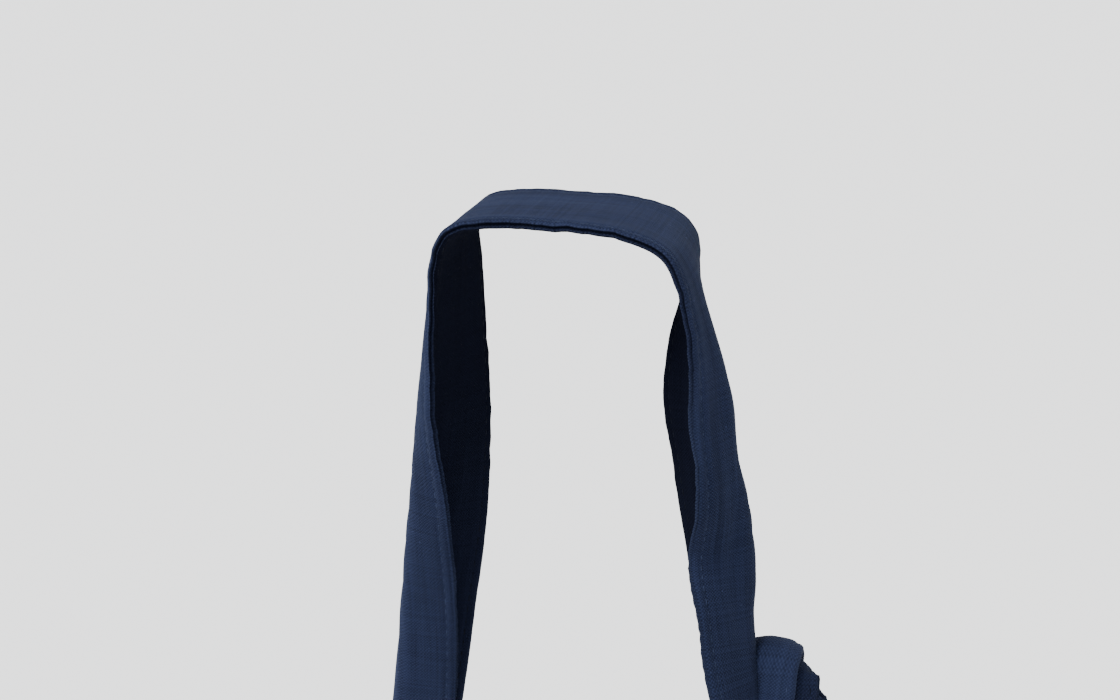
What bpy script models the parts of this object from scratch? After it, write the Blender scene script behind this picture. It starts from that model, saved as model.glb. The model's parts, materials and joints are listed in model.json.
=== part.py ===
"""Soft sling bag that hangs by its knotted shoulder strap.

Metres, +Z up, +X to the right, the bag's front faces -Y. The origin is under the top of the
strap's loop, at the point that a hook, a peg or a shoulder bears on.
"""

import math

import bpy
from mathutils import Vector

MM = 0.001
GAP = 0.3 * MM  # between cloths or metals that touch
LINING_GAP = 0.6 * MM  # the lining hangs loose in the bag

# Strap
STRAP_WIDTH = 25 * MM
STRAP_THICKNESS = 1.8 * MM
FOLD_SOFTNESS = 4 * MM  # half of the length over which the strap turns at a fold
SWING_Z = -428 * MM  # the line across the strap's two sewn ends, where the bag swings
SWING_GAP = 0.6 * MM

# Bag
BAG_X = 10 * MM  # middle of the bag
TOP_Z = -432 * MM
BAG_HEIGHT = 225 * MM
BASE_Z = TOP_Z - BAG_HEIGHT
HALF_WIDTH = 98 * MM
CORNER = 28 * MM
CLOTH = 1.4 * MM
LINING = 0.7 * MM
STRAP_END_X = 82.5 * MM  # strap ends from the middle of the bag
STRAP_END_DEPTH = 27 * MM
PIPING_RADIUS = 1.6 * MM
PIPING_CLEAR = PIPING_RADIUS + 0.85 * MM  # piping's middle from the side seam
LINING_TOP_SIDE = 0.16  # share of the height where the lining starts under the strap ends
LINING_TOP_MIDDLE = 0.035

# Zipper
ZIP_HALF_LENGTH = 62 * MM
TAPE_Z = TOP_Z - 1.6 * MM
TAPE_THICKNESS = 0.7 * MM
TOOTH_PITCH = 2.6 * MM
TOOTH_TIP = 0.6 * MM
TOOTH_ROOT = 2.3 * MM
BEAD = 1.5 * MM  # where the teeth leave the row's bead
TOOTH_THICKNESS = 2.0 * MM
SLIDER_X = BAG_X + 50 * MM
SLIDER_LENGTH = 11 * MM
SLIDER_HALF_WIDTH = 3.7 * MM
PLATE_INSIDE = 1.35 * MM  # slider plates from the tape's middle
PLATE_THICKNESS = 1.1 * MM
PULL_AXIS_Z = TAPE_Z + PLATE_INSIDE + PLATE_THICKNESS + 1.2 * MM
PULL_THICKNESS = 1.2 * MM
PULL_LENGTH = 17 * MM

# Front pocket and its flap, as shares of the bag's height
POCKET_HALF_WIDTH = 56 * MM
POCKET_TOP, POCKET_BOTTOM = 0.40, 0.88
POCKET_LIFT = 0.4 * MM
POCKET_CLOTH = 1.2 * MM
HEM_DROP = 0.055
HEM_CLOTH = 0.8 * MM
FLAP_HALF_WIDTH = 46 * MM
FLAP_TOP, FLAP_BOTTOM = 0.325, 0.53
SNAP_SHARE = 0.487  # height of the snap
SNAP_LIFT = 4.7 * MM  # flap's inner face from the front panel's, over the pocket


def smooth(t):
    """Eased step from 0 to 1."""
    t = min(1.0, max(0.0, t))
    return t * t * (3 - 2 * t)


# ------------------------------------------------------------------ scene and helpers

def clear_scene():
    for obj in list(bpy.data.objects):
        bpy.data.objects.remove(obj)


def new_collection(name, hidden=False):
    made = bpy.data.collections.new(name)
    bpy.context.scene.collection.children.link(made)
    made.hide_render = hidden
    return made


def new_material(name, colour, roughness, metallic=0.0):
    made = bpy.data.materials.new(name)
    made.use_nodes = True
    shader = made.node_tree.nodes["Principled BSDF"]
    shader.inputs["Base Color"].default_value = (*colour, 1)
    shader.inputs["Roughness"].default_value = roughness
    shader.inputs["Metallic"].default_value = metallic
    return made


def add_object(name, data, material, location=(0, 0, 0)):
    obj = bpy.data.objects.new(name, data)
    obj.location = location
    data.materials.append(material)
    bag_parts.objects.link(obj)
    return obj


def make_cutter(obj):
    bag_parts.objects.unlink(obj)
    cutters.objects.link(obj)
    obj.hide_render = True
    obj.display_type = "WIRE"


def boolean(obj, other, operation):
    modifier = obj.modifiers.new(operation.title(), "BOOLEAN")
    modifier.operation = operation
    modifier.object = other


def shell(name, surface, columns, rows, thickness, material, side=-1):
    """A cloth: the sheet surface(i / columns, j / rows), given its thickness to one side.

    For a sheet that runs to the right and down, side -1 is the bag's front and 1 its back.
    """
    mesh = bpy.data.meshes.new(name)
    points = [
        surface(i / columns, j / rows) for j in range(rows + 1) for i in range(columns + 1)
    ]
    across = columns + 1
    faces = [
        (j * across + i, j * across + i + 1, (j + 1) * across + i + 1, (j + 1) * across + i)
        for j in range(rows)
        for i in range(columns)
    ]
    mesh.from_pydata(points, [], faces)
    mesh.shade_smooth()
    obj = add_object(name, mesh, material)
    solidify = obj.modifiers.new("Cloth", "SOLIDIFY")
    solidify.thickness = thickness
    solidify.offset = side
    return obj


def tube(name, points, radius, material):
    """A round cord along the points."""
    curve = bpy.data.curves.new(name, "CURVE")
    curve.dimensions = "3D"
    curve.bevel_depth = radius
    curve.bevel_resolution = 2
    curve.use_fill_caps = True
    spline = curve.splines.new("POLY")
    spline.points.add(len(points) - 1)
    for spot, point in zip(spline.points, points):
        spot.co = (*point, 1)
    return add_object(name, curve, material)


def flat_piece(name, outlines, thickness, material, location):
    """A flat piece in the XY plane: the first outline is its edge and the others are holes."""
    curve = bpy.data.curves.new(name, "CURVE")
    curve.dimensions = "2D"
    curve.fill_mode = "BOTH"
    curve.extrude = thickness / 2
    for outline in outlines:
        spline = curve.splines.new("POLY")
        spline.points.add(len(outline) - 1)
        spline.use_cyclic_u = True
        for spot, (x, y) in zip(spline.points, outline):
            spot.co = (x, y, 0, 1)
    return add_object(name, curve, material, location)


def box(name, low, high, material):
    """A box between two corners, with its origin in its middle."""
    bpy.ops.mesh.primitive_cube_add(size=1)
    obj = bpy.context.object
    obj.name = name
    sides = [b - a for a, b in zip(low, high)]
    for vertex in obj.data.vertices:
        vertex.co = [c * side for c, side in zip(vertex.co, sides)]
    obj.location = [(a + b) / 2 for a, b in zip(low, high)]
    obj.data.materials.append(material)
    for holder in list(obj.users_collection):
        holder.objects.unlink(obj)
    bag_parts.objects.link(obj)
    return obj


def bevel(obj, width, segments=2):
    modifier = obj.modifiers.new("Edges", "BEVEL")
    modifier.width = width
    modifier.segments = segments
    modifier.limit_method = "ANGLE"


def turned(name, profile, material, foot, axis, steps=20):
    """A turned piece: profile holds (radius, distance from foot along the axis)."""
    mesh = bpy.data.meshes.new(name)
    points = [(radius, 0, height) for radius, height in profile]
    mesh.from_pydata(points, [(i, i + 1) for i in range(len(points) - 1)], [])
    obj = add_object(name, mesh, material, foot)
    screw = obj.modifiers.new("Turned", "SCREW")
    screw.steps = steps
    screw.render_steps = steps
    screw.use_merge_vertices = True
    screw.merge_threshold = 0.00001
    obj.rotation_euler = Vector(axis).to_track_quat("Z", "Y").to_euler()
    return obj


# ------------------------------------------------------------------ strap

# Stations along the strap, in mm: place of its middle, then its section. The section starts at
# the near edge and heads "first" degrees off the Y axis towards the loop's outside, turns to
# "second" at fold_a and to "third" at fold_b (mm from the near edge).
LEFT_ROOT_X = (BAG_X - STRAP_END_X) / MM
RIGHT_ROOT_X = (BAG_X + STRAP_END_X) / MM
STRAP_END_Z = (SWING_Z + SWING_GAP) / MM
#    x, y, z, first, second, third, fold_a, fold_b
LEFT_RUN = [
    (LEFT_ROOT_X, 0, STRAP_END_Z, 90, 90, 90, 12, 18),
    (-67.6, 0, -385, 90, 88, 88, 12, 18),
    (-58.2, 0, -310, 88, 78, 78, 12, 18),
    (-47.4, 0, -230, 82, 48, 48, 11, 18),
    (-38.2, 0, -165, 74, -12, -12, 11, 18),
    (-31.6, 0, -125, 68, -50, -50, 11, 18),
    (-27.6, 0, -99, 65, -63, -63, 10.5, 18),
    (-25.3, 0, -77, 60, -55, -55, 9, 18),
    (-23.2, 0, -55, 50, -38, -38, 7, 18),
    (-21.8, 0, -31, 35, -14, -14, 4.5, 18),
    (-21.9, 0, -14, 12, -4, -4, 5, 18),
    (-21.4, 0, -6.2, 3, 0, 0, 6, 18),
]
OVER_THE_TOP = [
    (-18.9, 0, -1.6, 0, 0, 0, 8, 18),
    (-14.0, 0, 0.3, 0, 0, 0, 8, 18),
    (-7.0, 0, 0.85, 0, 0, 0, 8, 18),
    (0.0, 0, 0.9, 0, 0, 0, 8, 18),
    (7.0, 0, 0.75, 0, 0, 0, 8, 18),
    (13.5, 0, -0.2, 0, 0, 0, 8, 18),
    (18.6, 0, -2.6, 0, -2, -2, 8, 18),
]
RIGHT_RUN = [
    (21.3, 0, -7.5, 3, -6, -6, 8, 18),
    (22.2, 0, -16, 10, -18, -18, 8, 18),
    (22.8, 0, -33, 24, -49, -49, 9, 18),
    (26.0, 0, -52, 30, -54, -54, 10.5, 18),
    (28.6, 0, -64, 40, -58, -50, 10.5, 18),
    (30.8, 0, -75, 52, -70, 20, 9.5, 18),
    (33.4, 0, -86, 58, -78, 62, 9, 17.5),
    (37.0, 0, -97, 58, -78, 62, 9, 17.5),
]
LOWER_RUN = [
    (37.0, 0, -97, 58, -78, 62, 9, 17.5),
    (40.4, 0, -113, 58, -78, 62, 9, 17.5),
    (44.2, 0, -132, 64, -62, 30, 9.5, 18),
    (48.6, 0, -156, 72, -30, -20, 10, 18),
    (56.0, 0, -198, 80, 28, 28, 11, 18),
    (67.0, 0, -266, 86, 72, 72, 12, 18),
    (80.5, 0, -346, 90, 88, 88, 12, 18),
    (RIGHT_ROOT_X, 0, STRAP_END_Z, 90, 90, 90, 12, 18),
]
KNOT_PLACE = Vector((38.2, 0, -97)) * MM
KNOT_RADII = Vector((11.5, 11, 20.5)) * MM
KNOT_CREASES = ((0.75, 0.25, 0.6), (-0.55, 0.55, 0.63), (0.1, -0.85, 0.5))  # planes across it


def between(before, start, end, after, t):
    """Catmull-Rom point between start and end."""
    return tuple(
        0.5 * (2 * b + (c - a) * t + (2 * a - 5 * b + 4 * c - d) * t * t
               + (3 * b - a - 3 * c + d) * t * t * t)
        for a, b, c, d in zip(before, start, end, after)
    )


def smoothed(stations, steps):
    """The stations with steps spans between each two of them."""
    last = len(stations) - 1
    points = []
    for i in range(last):
        around = [stations[min(last, max(0, i + k))] for k in (-1, 0, 1, 2)]
        points += [between(*around, k / steps) for k in range(steps)]
    return points + [stations[last]]


def strap_section(station, columns):
    """Points across the strap, as (outward, along Y), about their own middle, in metres."""
    first, second, third, fold_a, fold_b = station[3:]
    step = STRAP_WIDTH / columns
    points = [(0.0, 0.0)]
    for k in range(columns):
        along = (k + 0.5) * step
        turn_a = smooth((along - fold_a * MM) / (2 * FOLD_SOFTNESS) + 0.5)
        turn_b = smooth((along - fold_b * MM) / (2 * FOLD_SOFTNESS) + 0.5)
        heading = math.radians(first + (second - first) * turn_a + (third - second) * turn_b)
        out, deep = points[-1]
        points.append((out + step * math.sin(heading), deep + step * math.cos(heading)))
    middle = [sum(p[k] for p in points) / len(points) for k in (0, 1)]
    return [(out - middle[0], deep - middle[1]) for out, deep in points]


def strap_run(name, stations, steps, columns, material):
    """A length of the strap, with its cloth on both sides of its middle sheet."""
    line = smoothed(stations, steps)
    rows = []
    for i, station in enumerate(line):
        ahead, behind = line[min(len(line) - 1, i + 1)], line[max(0, i - 1)]
        tangent = (Vector(ahead[:3]) - Vector(behind[:3])).normalized()
        if station[2] == STRAP_END_Z:  # the sewn ends are cut level
            tangent = Vector((0, 0, math.copysign(1, tangent.z)))
        outward = tangent.cross(Vector((0, 1, 0))).normalized()
        deep = outward.cross(tangent)
        place = Vector(station[:3]) * MM
        rows.append([place + outward * o + deep * d for o, d in strap_section(station, columns)])
    last = len(rows) - 1
    obj = shell(
        name,
        lambda u, v: rows[round(v * last)][round(u * columns)],
        columns,
        last,
        STRAP_THICKNESS,
        material,
    )
    obj.modifiers["Cloth"].offset = 0
    return obj


def make_knot(material, radii):
    """The knot: an oval lump with a crease along each edge of the strap's wraps."""
    bpy.ops.mesh.primitive_uv_sphere_add(segments=28, ring_count=20, radius=1)
    knot = bpy.context.object
    for vertex in knot.data.vertices:
        size = 1.0
        for crease in KNOT_CREASES:
            size -= 0.09 * math.exp(-((vertex.co.dot(Vector(crease)) / 0.13) ** 2))
        vertex.co = [c * size * r for c, r in zip(vertex.co, radii)]
    knot.location = KNOT_PLACE
    knot.data.materials.append(material)
    knot.data.shade_smooth()
    for holder in list(knot.users_collection):
        holder.objects.unlink(knot)
    bag_parts.objects.link(knot)
    return knot


def make_strap(material):
    knot = make_knot(material, KNOT_RADII)
    knot.name = "strap_knot"
    room = make_knot(material, KNOT_RADII + 2 * Vector((GAP, GAP, GAP)))
    room.name = "knot_room"
    make_cutter(room)
    upper = strap_run("strap_upper", LEFT_RUN + OVER_THE_TOP + RIGHT_RUN, 2, 8, material)
    lower = strap_run("strap_lower", LOWER_RUN, 3, 8, material)
    for piece in (upper, lower):
        boolean(piece, room, "DIFFERENCE")
    for side, name in ((-1, "strap_end_left"), (1, "strap_end_right")):
        middle = BAG_X + side * STRAP_END_X
        top = SWING_Z - SWING_GAP
        box(
            name,
            (middle - STRAP_WIDTH / 2, -STRAP_THICKNESS / 2, top - STRAP_END_DEPTH),
            (middle + STRAP_WIDTH / 2, STRAP_THICKNESS / 2, top),
            material,
        )


# ------------------------------------------------------------------ shape of the bag

def height_at(share):
    return TOP_Z - share * BAG_HEIGHT


def edge_depth(share):
    """Half of the bag's depth at its side seams."""
    share = min(1.0, max(0.0, share / 0.9))
    return 1.35 * MM + 22.2 * MM * math.sin(math.pi / 2 * share) ** 1.2


def panel_depth(u, share, fullness=1.0):
    """How far a panel's inner face is from the bag's middle plane. u is -1 to 1 across."""
    mouth = 1 - min(1.0, abs(u) / 0.735) ** 10
    pillow = 1 - u * u
    across = mouth + (pillow - mouth) * smooth(share / 0.16)
    swell = 4.6 * MM * (1 - share) ** 2
    swell += fullness * 13 * MM * math.sin(math.pi * share) + fullness * 2 * MM * share
    return edge_depth(share) + swell * across


def half_width_at(share, inset=0.0):
    """Half of the bag's width. The two lower corners are round."""
    over_base = height_at(share) - BASE_Z
    if over_base >= CORNER:
        return HALF_WIDTH - inset
    radius = CORNER - inset
    drop = CORNER - max(over_base, inset)
    return HALF_WIDTH - CORNER + math.sqrt(max(0.0, radius * radius - drop * drop))


CORNER_SHARE = 1 - CORNER / BAG_HEIGHT
SIDE_ROWS, CORNER_ROWS, BASE_ROWS = 9, 6, 8
ROWS = SIDE_ROWS + CORNER_ROWS


def row_share(v, start=0.0, end=1.0):
    """Share of the height for row v: even down to the round corners, then by angle."""
    row = v * ROWS
    if row <= SIDE_ROWS:
        return start + (CORNER_SHARE - start) * row / SIDE_ROWS
    angle = math.pi / 2 * (row - SIDE_ROWS) / CORNER_ROWS
    return CORNER_SHARE + (end - CORNER_SHARE) * math.sin(angle)


def panel_point(u, share, side, lift=0.0, fullness=1.0, inset=0.0):
    """A point on a panel. side is -1 for the front and 1 for the back, lift is outwards."""
    x = BAG_X + u * half_width_at(share, inset)
    return (x, side * (panel_depth(u, share, fullness) + lift), height_at(share))


def half_rim(inset, start):
    """The bag's right edge seen from the front, from the middle of the base to the top."""
    radius = CORNER - inset
    base = HALF_WIDTH - CORNER
    line = [(base * k / BASE_ROWS, BASE_Z + inset) for k in range(BASE_ROWS)]
    for k in range(CORNER_ROWS):
        angle = math.pi / 2 * k / CORNER_ROWS
        x = base + radius * math.sin(angle)
        line.append((x, BASE_Z + CORNER - radius * math.cos(angle)))
    low, high = height_at(CORNER_SHARE), height_at(start)
    for k in range(SIDE_ROWS + 1):
        line.append((HALF_WIDTH - inset, low + (high - low) * k / SIDE_ROWS))
    return line


def rim(inset, start=0.0):
    """The whole edge: down the left side, along the base and up the right side."""
    half = half_rim(inset, start)
    return [(BAG_X - x, z) for x, z in reversed(half[1:])] + [(BAG_X + x, z) for x, z in half]


def edge_strip(name, inset, start, tuck, thickness, material):
    """The strip of cloth round the bag's edge. tuck keeps it clear of the panels."""
    line = rim(inset, start)

    def surface(u, v):
        x, z = line[round(v * (len(line) - 1))]
        depth = edge_depth((TOP_Z - z) / BAG_HEIGHT) - tuck
        return (x, (2 * u - 1) * depth, z)

    return shell(name, surface, 4, len(line) - 1, thickness, material)


# ------------------------------------------------------------------ cloth pieces

BACK_FULLNESS = 0.62


def make_outside(cloth):
    for name, side, fullness in (("front_panel", -1, 1.0), ("back_panel", 1, BACK_FULLNESS)):
        shell(
            name,
            lambda u, v: panel_point(2 * u - 1, row_share(v), side, fullness=fullness),
            20, ROWS, CLOTH, cloth, side,
        )
    edge_strip("gusset", 0.0, 0.0, GAP, CLOTH, cloth)


def make_piping(cloth):
    for name, side in (("piping_front", -1), ("piping_back", 1)):
        points = []
        for x, z in rim(-PIPING_CLEAR):
            depth = edge_depth((TOP_Z - z) / BAG_HEIGHT) + CLOTH / 2 + 3 * GAP
            points.append((x, side * depth, z))
        tube(name, points, PIPING_RADIUS, cloth)


def lining_share(u, v):
    """The lining goes up to the zipper tapes, and stays under the strap's ends."""
    beside = smooth((abs(u) - 0.58) / 0.1)
    start = LINING_TOP_MIDDLE + (LINING_TOP_SIDE - LINING_TOP_MIDDLE) * beside
    return row_share(v, start, 1 - (CLOTH + 2 * LINING_GAP + LINING) / BAG_HEIGHT)


def make_lining(material):
    strip_inset = CLOTH + LINING_GAP
    panel_inset = strip_inset + LINING + GAP
    for name, side, fullness in (("lining_front", -1, 1.0), ("lining_back", 1, BACK_FULLNESS)):
        shell(
            name,
            lambda u, v: panel_point(
                2 * u - 1, lining_share(2 * u - 1, v), side, -LINING_GAP, fullness, panel_inset
            ),
            20, ROWS, LINING, material, -side,
        )
    tuck = LINING_GAP + LINING + 2 * GAP
    edge_strip("lining_gusset", strip_inset, LINING_TOP_SIDE, tuck, LINING, material)
    shell(
        "inner_pocket",
        lambda u, v: panel_point(
            (2 * u - 1) * 0.55, 0.34 + 0.5 * v, 1, -LINING - 2 * LINING_GAP, BACK_FULLNESS
        ),
        12, 8, 0.9 * MM, material,
    )


def panel_axis(u, share, side):
    """The outward direction of a panel at a place on it."""
    step = 0.01
    place = Vector(panel_point(u, share, side))
    across = Vector(panel_point(u + step, share, side)) - place
    down = Vector(panel_point(u, share + step, side)) - place
    return across.cross(down).normalized() * side


def make_front_pocket(cloth):
    half = POCKET_HALF_WIDTH / HALF_WIDTH
    shell(
        "front_pocket",
        lambda u, v: panel_point(
            (2 * u - 1) * half,
            POCKET_TOP + (POCKET_BOTTOM - POCKET_TOP) * v,
            -1,
            CLOTH + POCKET_LIFT,
        ),
        12, 10, POCKET_CLOTH, cloth,
    )
    shell(
        "pocket_hem",
        lambda u, v: panel_point(
            (2 * u - 1) * half,
            POCKET_TOP + HEM_DROP * v,
            -1,
            CLOTH + POCKET_LIFT + POCKET_CLOTH + GAP,
        ),
        12, 2, HEM_CLOTH, cloth,
    )


def flap_lift(share):
    """The flap lies over the pocket's hem, with the snap between it and the pocket."""
    near_top = CLOTH + POCKET_LIFT
    rise = smooth((share - FLAP_TOP) / (0.97 * POCKET_TOP - FLAP_TOP))
    return near_top + (SNAP_LIFT - near_top) * rise


def flap_point(u, v):
    """The flap's lower edge has two round corners, so its sides end higher."""
    across = 2 * u - 1
    bottom = FLAP_BOTTOM - 0.045 * abs(across) ** 6
    share = FLAP_TOP + (bottom - FLAP_TOP) * v
    return panel_point(across * FLAP_HALF_WIDTH / HALF_WIDTH, share, -1, flap_lift(share))


def make_flap(cloth):
    shell("pocket_flap", flap_point, 12, 12, POCKET_CLOTH, cloth)


# ------------------------------------------------------------------ zipper

def mouth_depth(x):
    """The panels' inner faces from the middle of the mouth."""
    return panel_depth((x - BAG_X) / HALF_WIDTH, 0.0)


def make_zipper_tapes(material):
    steps = 24
    xs = [BAG_X + ZIP_HALF_LENGTH * (2 * k / steps - 1) for k in range(steps + 1)]
    for name, side in (("zipper_tape_front", -1), ("zipper_tape_back", 1)):
        inner = [(x, side * (TOOTH_ROOT + GAP)) for x in xs]
        outer = [(x, side * (mouth_depth(x) - GAP)) for x in reversed(xs)]
        flat_piece(name, [inner + outer], TAPE_THICKNESS, material, (0, 0, TAPE_Z))


def make_zipper_teeth(material):
    """Two combs whose teeth stand opposite each other's gaps."""
    count = int(2 * (ZIP_HALF_LENGTH - 6 * MM) / TOOTH_PITCH)
    start = BAG_X - count * TOOTH_PITCH / 2
    width = 0.55 * TOOTH_PITCH
    for name, side, shift in (("zipper_teeth_front", -1, 0), ("zipper_teeth_back", 1, 0.5)):
        comb = []
        for k in range(count):
            left = start + (k + shift * 0.9) * TOOTH_PITCH
            comb += [
                (left, side * BEAD),
                (left + 0.15 * width, side * TOOTH_TIP),
                (left + 0.85 * width, side * TOOTH_TIP),
                (left + width, side * BEAD),
            ]
        ends = [(start + count * TOOTH_PITCH, side * BEAD), (start + count * TOOTH_PITCH, side * TOOTH_ROOT)]
        back = [(start - 0.5 * MM, side * TOOTH_ROOT), (start - 0.5 * MM, side * BEAD)]
        flat_piece(name, [comb + ends + back], TOOTH_THICKNESS, material, (0, 0, TAPE_Z))


def make_zipper_stops(material):
    """A box stop where the zipper starts, and one small stop on each tape where it ends."""
    far = BAG_X - ZIP_HALF_LENGTH + 1 * MM
    high = TOOTH_THICKNESS / 2
    start = box(
        "zipper_start_stop",
        (far, -TOOTH_ROOT, TAPE_Z - high),
        (far + 3 * MM, TOOTH_ROOT, TAPE_Z + high),
        material,
    )
    bevel(start, 0.3 * MM)
    near = BAG_X + ZIP_HALF_LENGTH - 4 * MM
    for name, side in (("zipper_end_stop_front", -1), ("zipper_end_stop_back", 1)):
        edges = sorted((side * TOOTH_TIP, side * TOOTH_ROOT))
        stop = box(
            name,
            (near, edges[0], TAPE_Z - high),
            (near + 2.4 * MM, edges[1], TAPE_Z + high),
            material,
        )
        bevel(stop, 0.3 * MM)


def slider_box(name, low, high, material):
    """low and high are (along the zipper, across, up) from the slider's middle, in mm."""
    middle = Vector((SLIDER_X, 0, TAPE_Z))
    return box(name, middle + Vector(low) * MM, middle + Vector(high) * MM, material)


def make_slider(material):
    half = SLIDER_LENGTH / MM / 2
    wide = SLIDER_HALF_WIDTH / MM
    inside = PLATE_INSIDE / MM
    outside = inside + PLATE_THICKNESS / MM
    slider = slider_box("zipper_slider", (-half, -wide, inside), (half, wide, outside), material)
    more = [
        ((-half, -wide, -outside), (half, wide, -inside)),
        ((half - 1.6, -0.3, -inside - 0.2), (half - 0.4, 0.3, inside + 0.2)),
    ]
    for side in (-1, 1):
        edges = sorted((side * (wide - 0.8), side * wide))
        more.append(((-half, edges[0], 0.65), (half, edges[1], inside + 0.2)))
        more.append(((-half, edges[0], -inside - 0.2), (half, edges[1], -0.65)))
        posts = sorted((side * 1.6, side * 2.6))
        more.append(((posts[0], -0.9, outside - 0.2), (posts[1], 0.9, outside + 2.3)))
    more.append(((-2.6, -0.9, outside + 2.3 - 0.1), (2.6, 0.9, outside + 3.2)))
    for k, (low, high) in enumerate(more):
        extra = slider_box(f"slider_extra_{k}", low, high, material)
        make_cutter(extra)
        boolean(slider, extra, "UNION")


def rounded(left, right, half, corner, steps=4):
    """A rectangle's outline with round corners, anticlockwise."""
    corners = [(right, half, 0), (left, half, 90), (left, -half, 180), (right, -half, 270)]
    points = []
    for x, y, first in corners:
        cx = x - corner if x == right else x + corner
        cy = y - corner if y > 0 else y + corner
        for k in range(steps + 1):
            angle = math.radians(first + 90 * k / steps)
            points.append((cx + corner * math.cos(angle), cy + corner * math.sin(angle)))
    return points


def make_pull(material):
    """The pull's eye goes round the slider's bail, and its cross bar is on the hinge's axis."""
    bar = PULL_THICKNESS / 2
    edge = rounded(-PULL_LENGTH, bar, 3.0 * MM, 0.6 * MM)
    eye = [(-bar, 1.8 * MM), (-4.4 * MM, 1.8 * MM), (-4.4 * MM, -1.8 * MM), (-bar, -1.8 * MM)]
    finger = rounded(-PULL_LENGTH + 2.2 * MM, -PULL_LENGTH + 6.2 * MM, 1.3 * MM, 1.2 * MM)
    flat_piece(
        "zipper_pull", [edge, eye, finger], PULL_THICKNESS, material, (SLIDER_X, 0, PULL_AXIS_Z)
    )


# ------------------------------------------------------------------ snap, rivets, label

def make_snap(material):
    """A press stud: the cap and socket are on the flap, and the stud is on the pocket."""
    foot = panel_point(0.0, SNAP_SHARE, -1)
    axis = panel_axis(0.0, SNAP_SHARE, -1)
    low = CLOTH + POCKET_LIFT + POCKET_CLOTH + GAP
    high = SNAP_LIFT - 2 * GAP
    rise = high - low
    turned(
        "snap_stud",
        [(0, high), (1.1 * MM, high), (1.4 * MM, low + 0.6 * rise), (1.2 * MM, low + 0.3 * rise),
         (3.4 * MM, low + 0.25 * rise), (3.4 * MM, low), (0, low)],
        material, foot, axis,
    )
    base = low + 0.25 * rise + GAP
    turned(
        "snap_socket",
        [(4.2 * MM, high), (4.2 * MM, base), (1.8 * MM, base), (1.8 * MM, high), (4.2 * MM, high)],
        material, foot, axis,
    )
    outside = SNAP_LIFT + POCKET_CLOTH + GAP
    turned(
        "snap_cap",
        [(0, outside + 1.5 * MM), (2.6 * MM, outside + 1.3 * MM), (4.6 * MM, outside + 0.7 * MM),
         (5.2 * MM, outside), (0, outside)],
        material, foot, axis,
    )


def make_rivets(material):
    """One rivet at each upper corner of the front pocket, where it would tear first."""
    share = POCKET_TOP + HEM_DROP / 2
    face = CLOTH + POCKET_LIFT + POCKET_CLOTH + GAP + HEM_CLOTH + GAP
    for name, side in (("rivet_left", -1), ("rivet_right", 1)):
        u = side * (POCKET_HALF_WIDTH - 5 * MM) / HALF_WIDTH
        turned(
            name,
            [(0, face + 1.1 * MM), (1.8 * MM, face + 0.9 * MM), (2.8 * MM, face + 0.4 * MM),
             (3.0 * MM, face), (0, face)],
            material, panel_point(u, share, -1), panel_axis(u, share, -1), 16,
        )


def make_label(material):
    """A blank folded tag sewn to the left side, flat against the gusset."""
    share = 0.62
    x = BAG_X - HALF_WIDTH - GAP
    depth = edge_depth(share) - 6 * MM
    z = height_at(share)
    box("side_label", (x - 0.9 * MM, -depth, z - 9 * MM), (x, depth, z + 9 * MM), material)


clear_scene()
bag_parts = new_collection("sling_bag")
cutters = new_collection("cutters", hidden=True)

navy_cloth = new_material("navy_cloth", (0.028, 0.040, 0.080), 0.9)
lining_cloth = new_material("lining_cloth", (0.42, 0.39, 0.33), 0.9)
zipper_tape = new_material("zipper_tape", (0.020, 0.027, 0.050), 0.85)
brass = new_material("brass", (0.42, 0.30, 0.15), 0.38, 1.0)
label_cloth = new_material("label_cloth", (0.55, 0.50, 0.42), 0.85)

make_strap(navy_cloth)
make_outside(navy_cloth)
make_piping(navy_cloth)
make_lining(lining_cloth)
make_front_pocket(navy_cloth)
make_flap(navy_cloth)
make_zipper_tapes(zipper_tape)
make_zipper_teeth(brass)
make_zipper_stops(brass)
make_slider(brass)
make_pull(brass)
make_snap(brass)
make_rivets(brass)
make_label(label_cloth)
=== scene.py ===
"""The looks of a soft sling bag that hangs by its knotted strap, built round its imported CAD."""

import json
import math

import bmesh
import bpy
import numpy as np
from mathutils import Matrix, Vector, noise


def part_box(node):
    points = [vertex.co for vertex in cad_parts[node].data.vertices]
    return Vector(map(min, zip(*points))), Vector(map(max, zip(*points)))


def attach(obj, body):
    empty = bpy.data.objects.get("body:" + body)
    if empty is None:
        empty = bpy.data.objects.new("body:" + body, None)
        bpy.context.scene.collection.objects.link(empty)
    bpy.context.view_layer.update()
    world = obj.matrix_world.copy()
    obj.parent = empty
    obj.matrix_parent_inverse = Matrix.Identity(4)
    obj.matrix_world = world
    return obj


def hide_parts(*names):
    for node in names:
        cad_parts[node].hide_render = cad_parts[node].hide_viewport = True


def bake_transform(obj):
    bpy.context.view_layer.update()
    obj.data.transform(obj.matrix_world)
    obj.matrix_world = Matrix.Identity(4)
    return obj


MM = 0.001

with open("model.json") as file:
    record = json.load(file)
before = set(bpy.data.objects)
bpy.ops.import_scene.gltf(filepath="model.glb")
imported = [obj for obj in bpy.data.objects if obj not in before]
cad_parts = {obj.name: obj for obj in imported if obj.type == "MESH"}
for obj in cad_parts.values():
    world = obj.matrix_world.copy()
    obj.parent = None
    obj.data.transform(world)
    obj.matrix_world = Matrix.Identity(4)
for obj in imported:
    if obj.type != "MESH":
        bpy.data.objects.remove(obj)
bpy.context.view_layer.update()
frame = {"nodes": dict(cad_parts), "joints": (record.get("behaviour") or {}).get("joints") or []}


# ------------------------------------------------------------------ places from the frame

def joint(name):
    return next(j for j in frame["joints"] if j["name"] == name)


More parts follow.
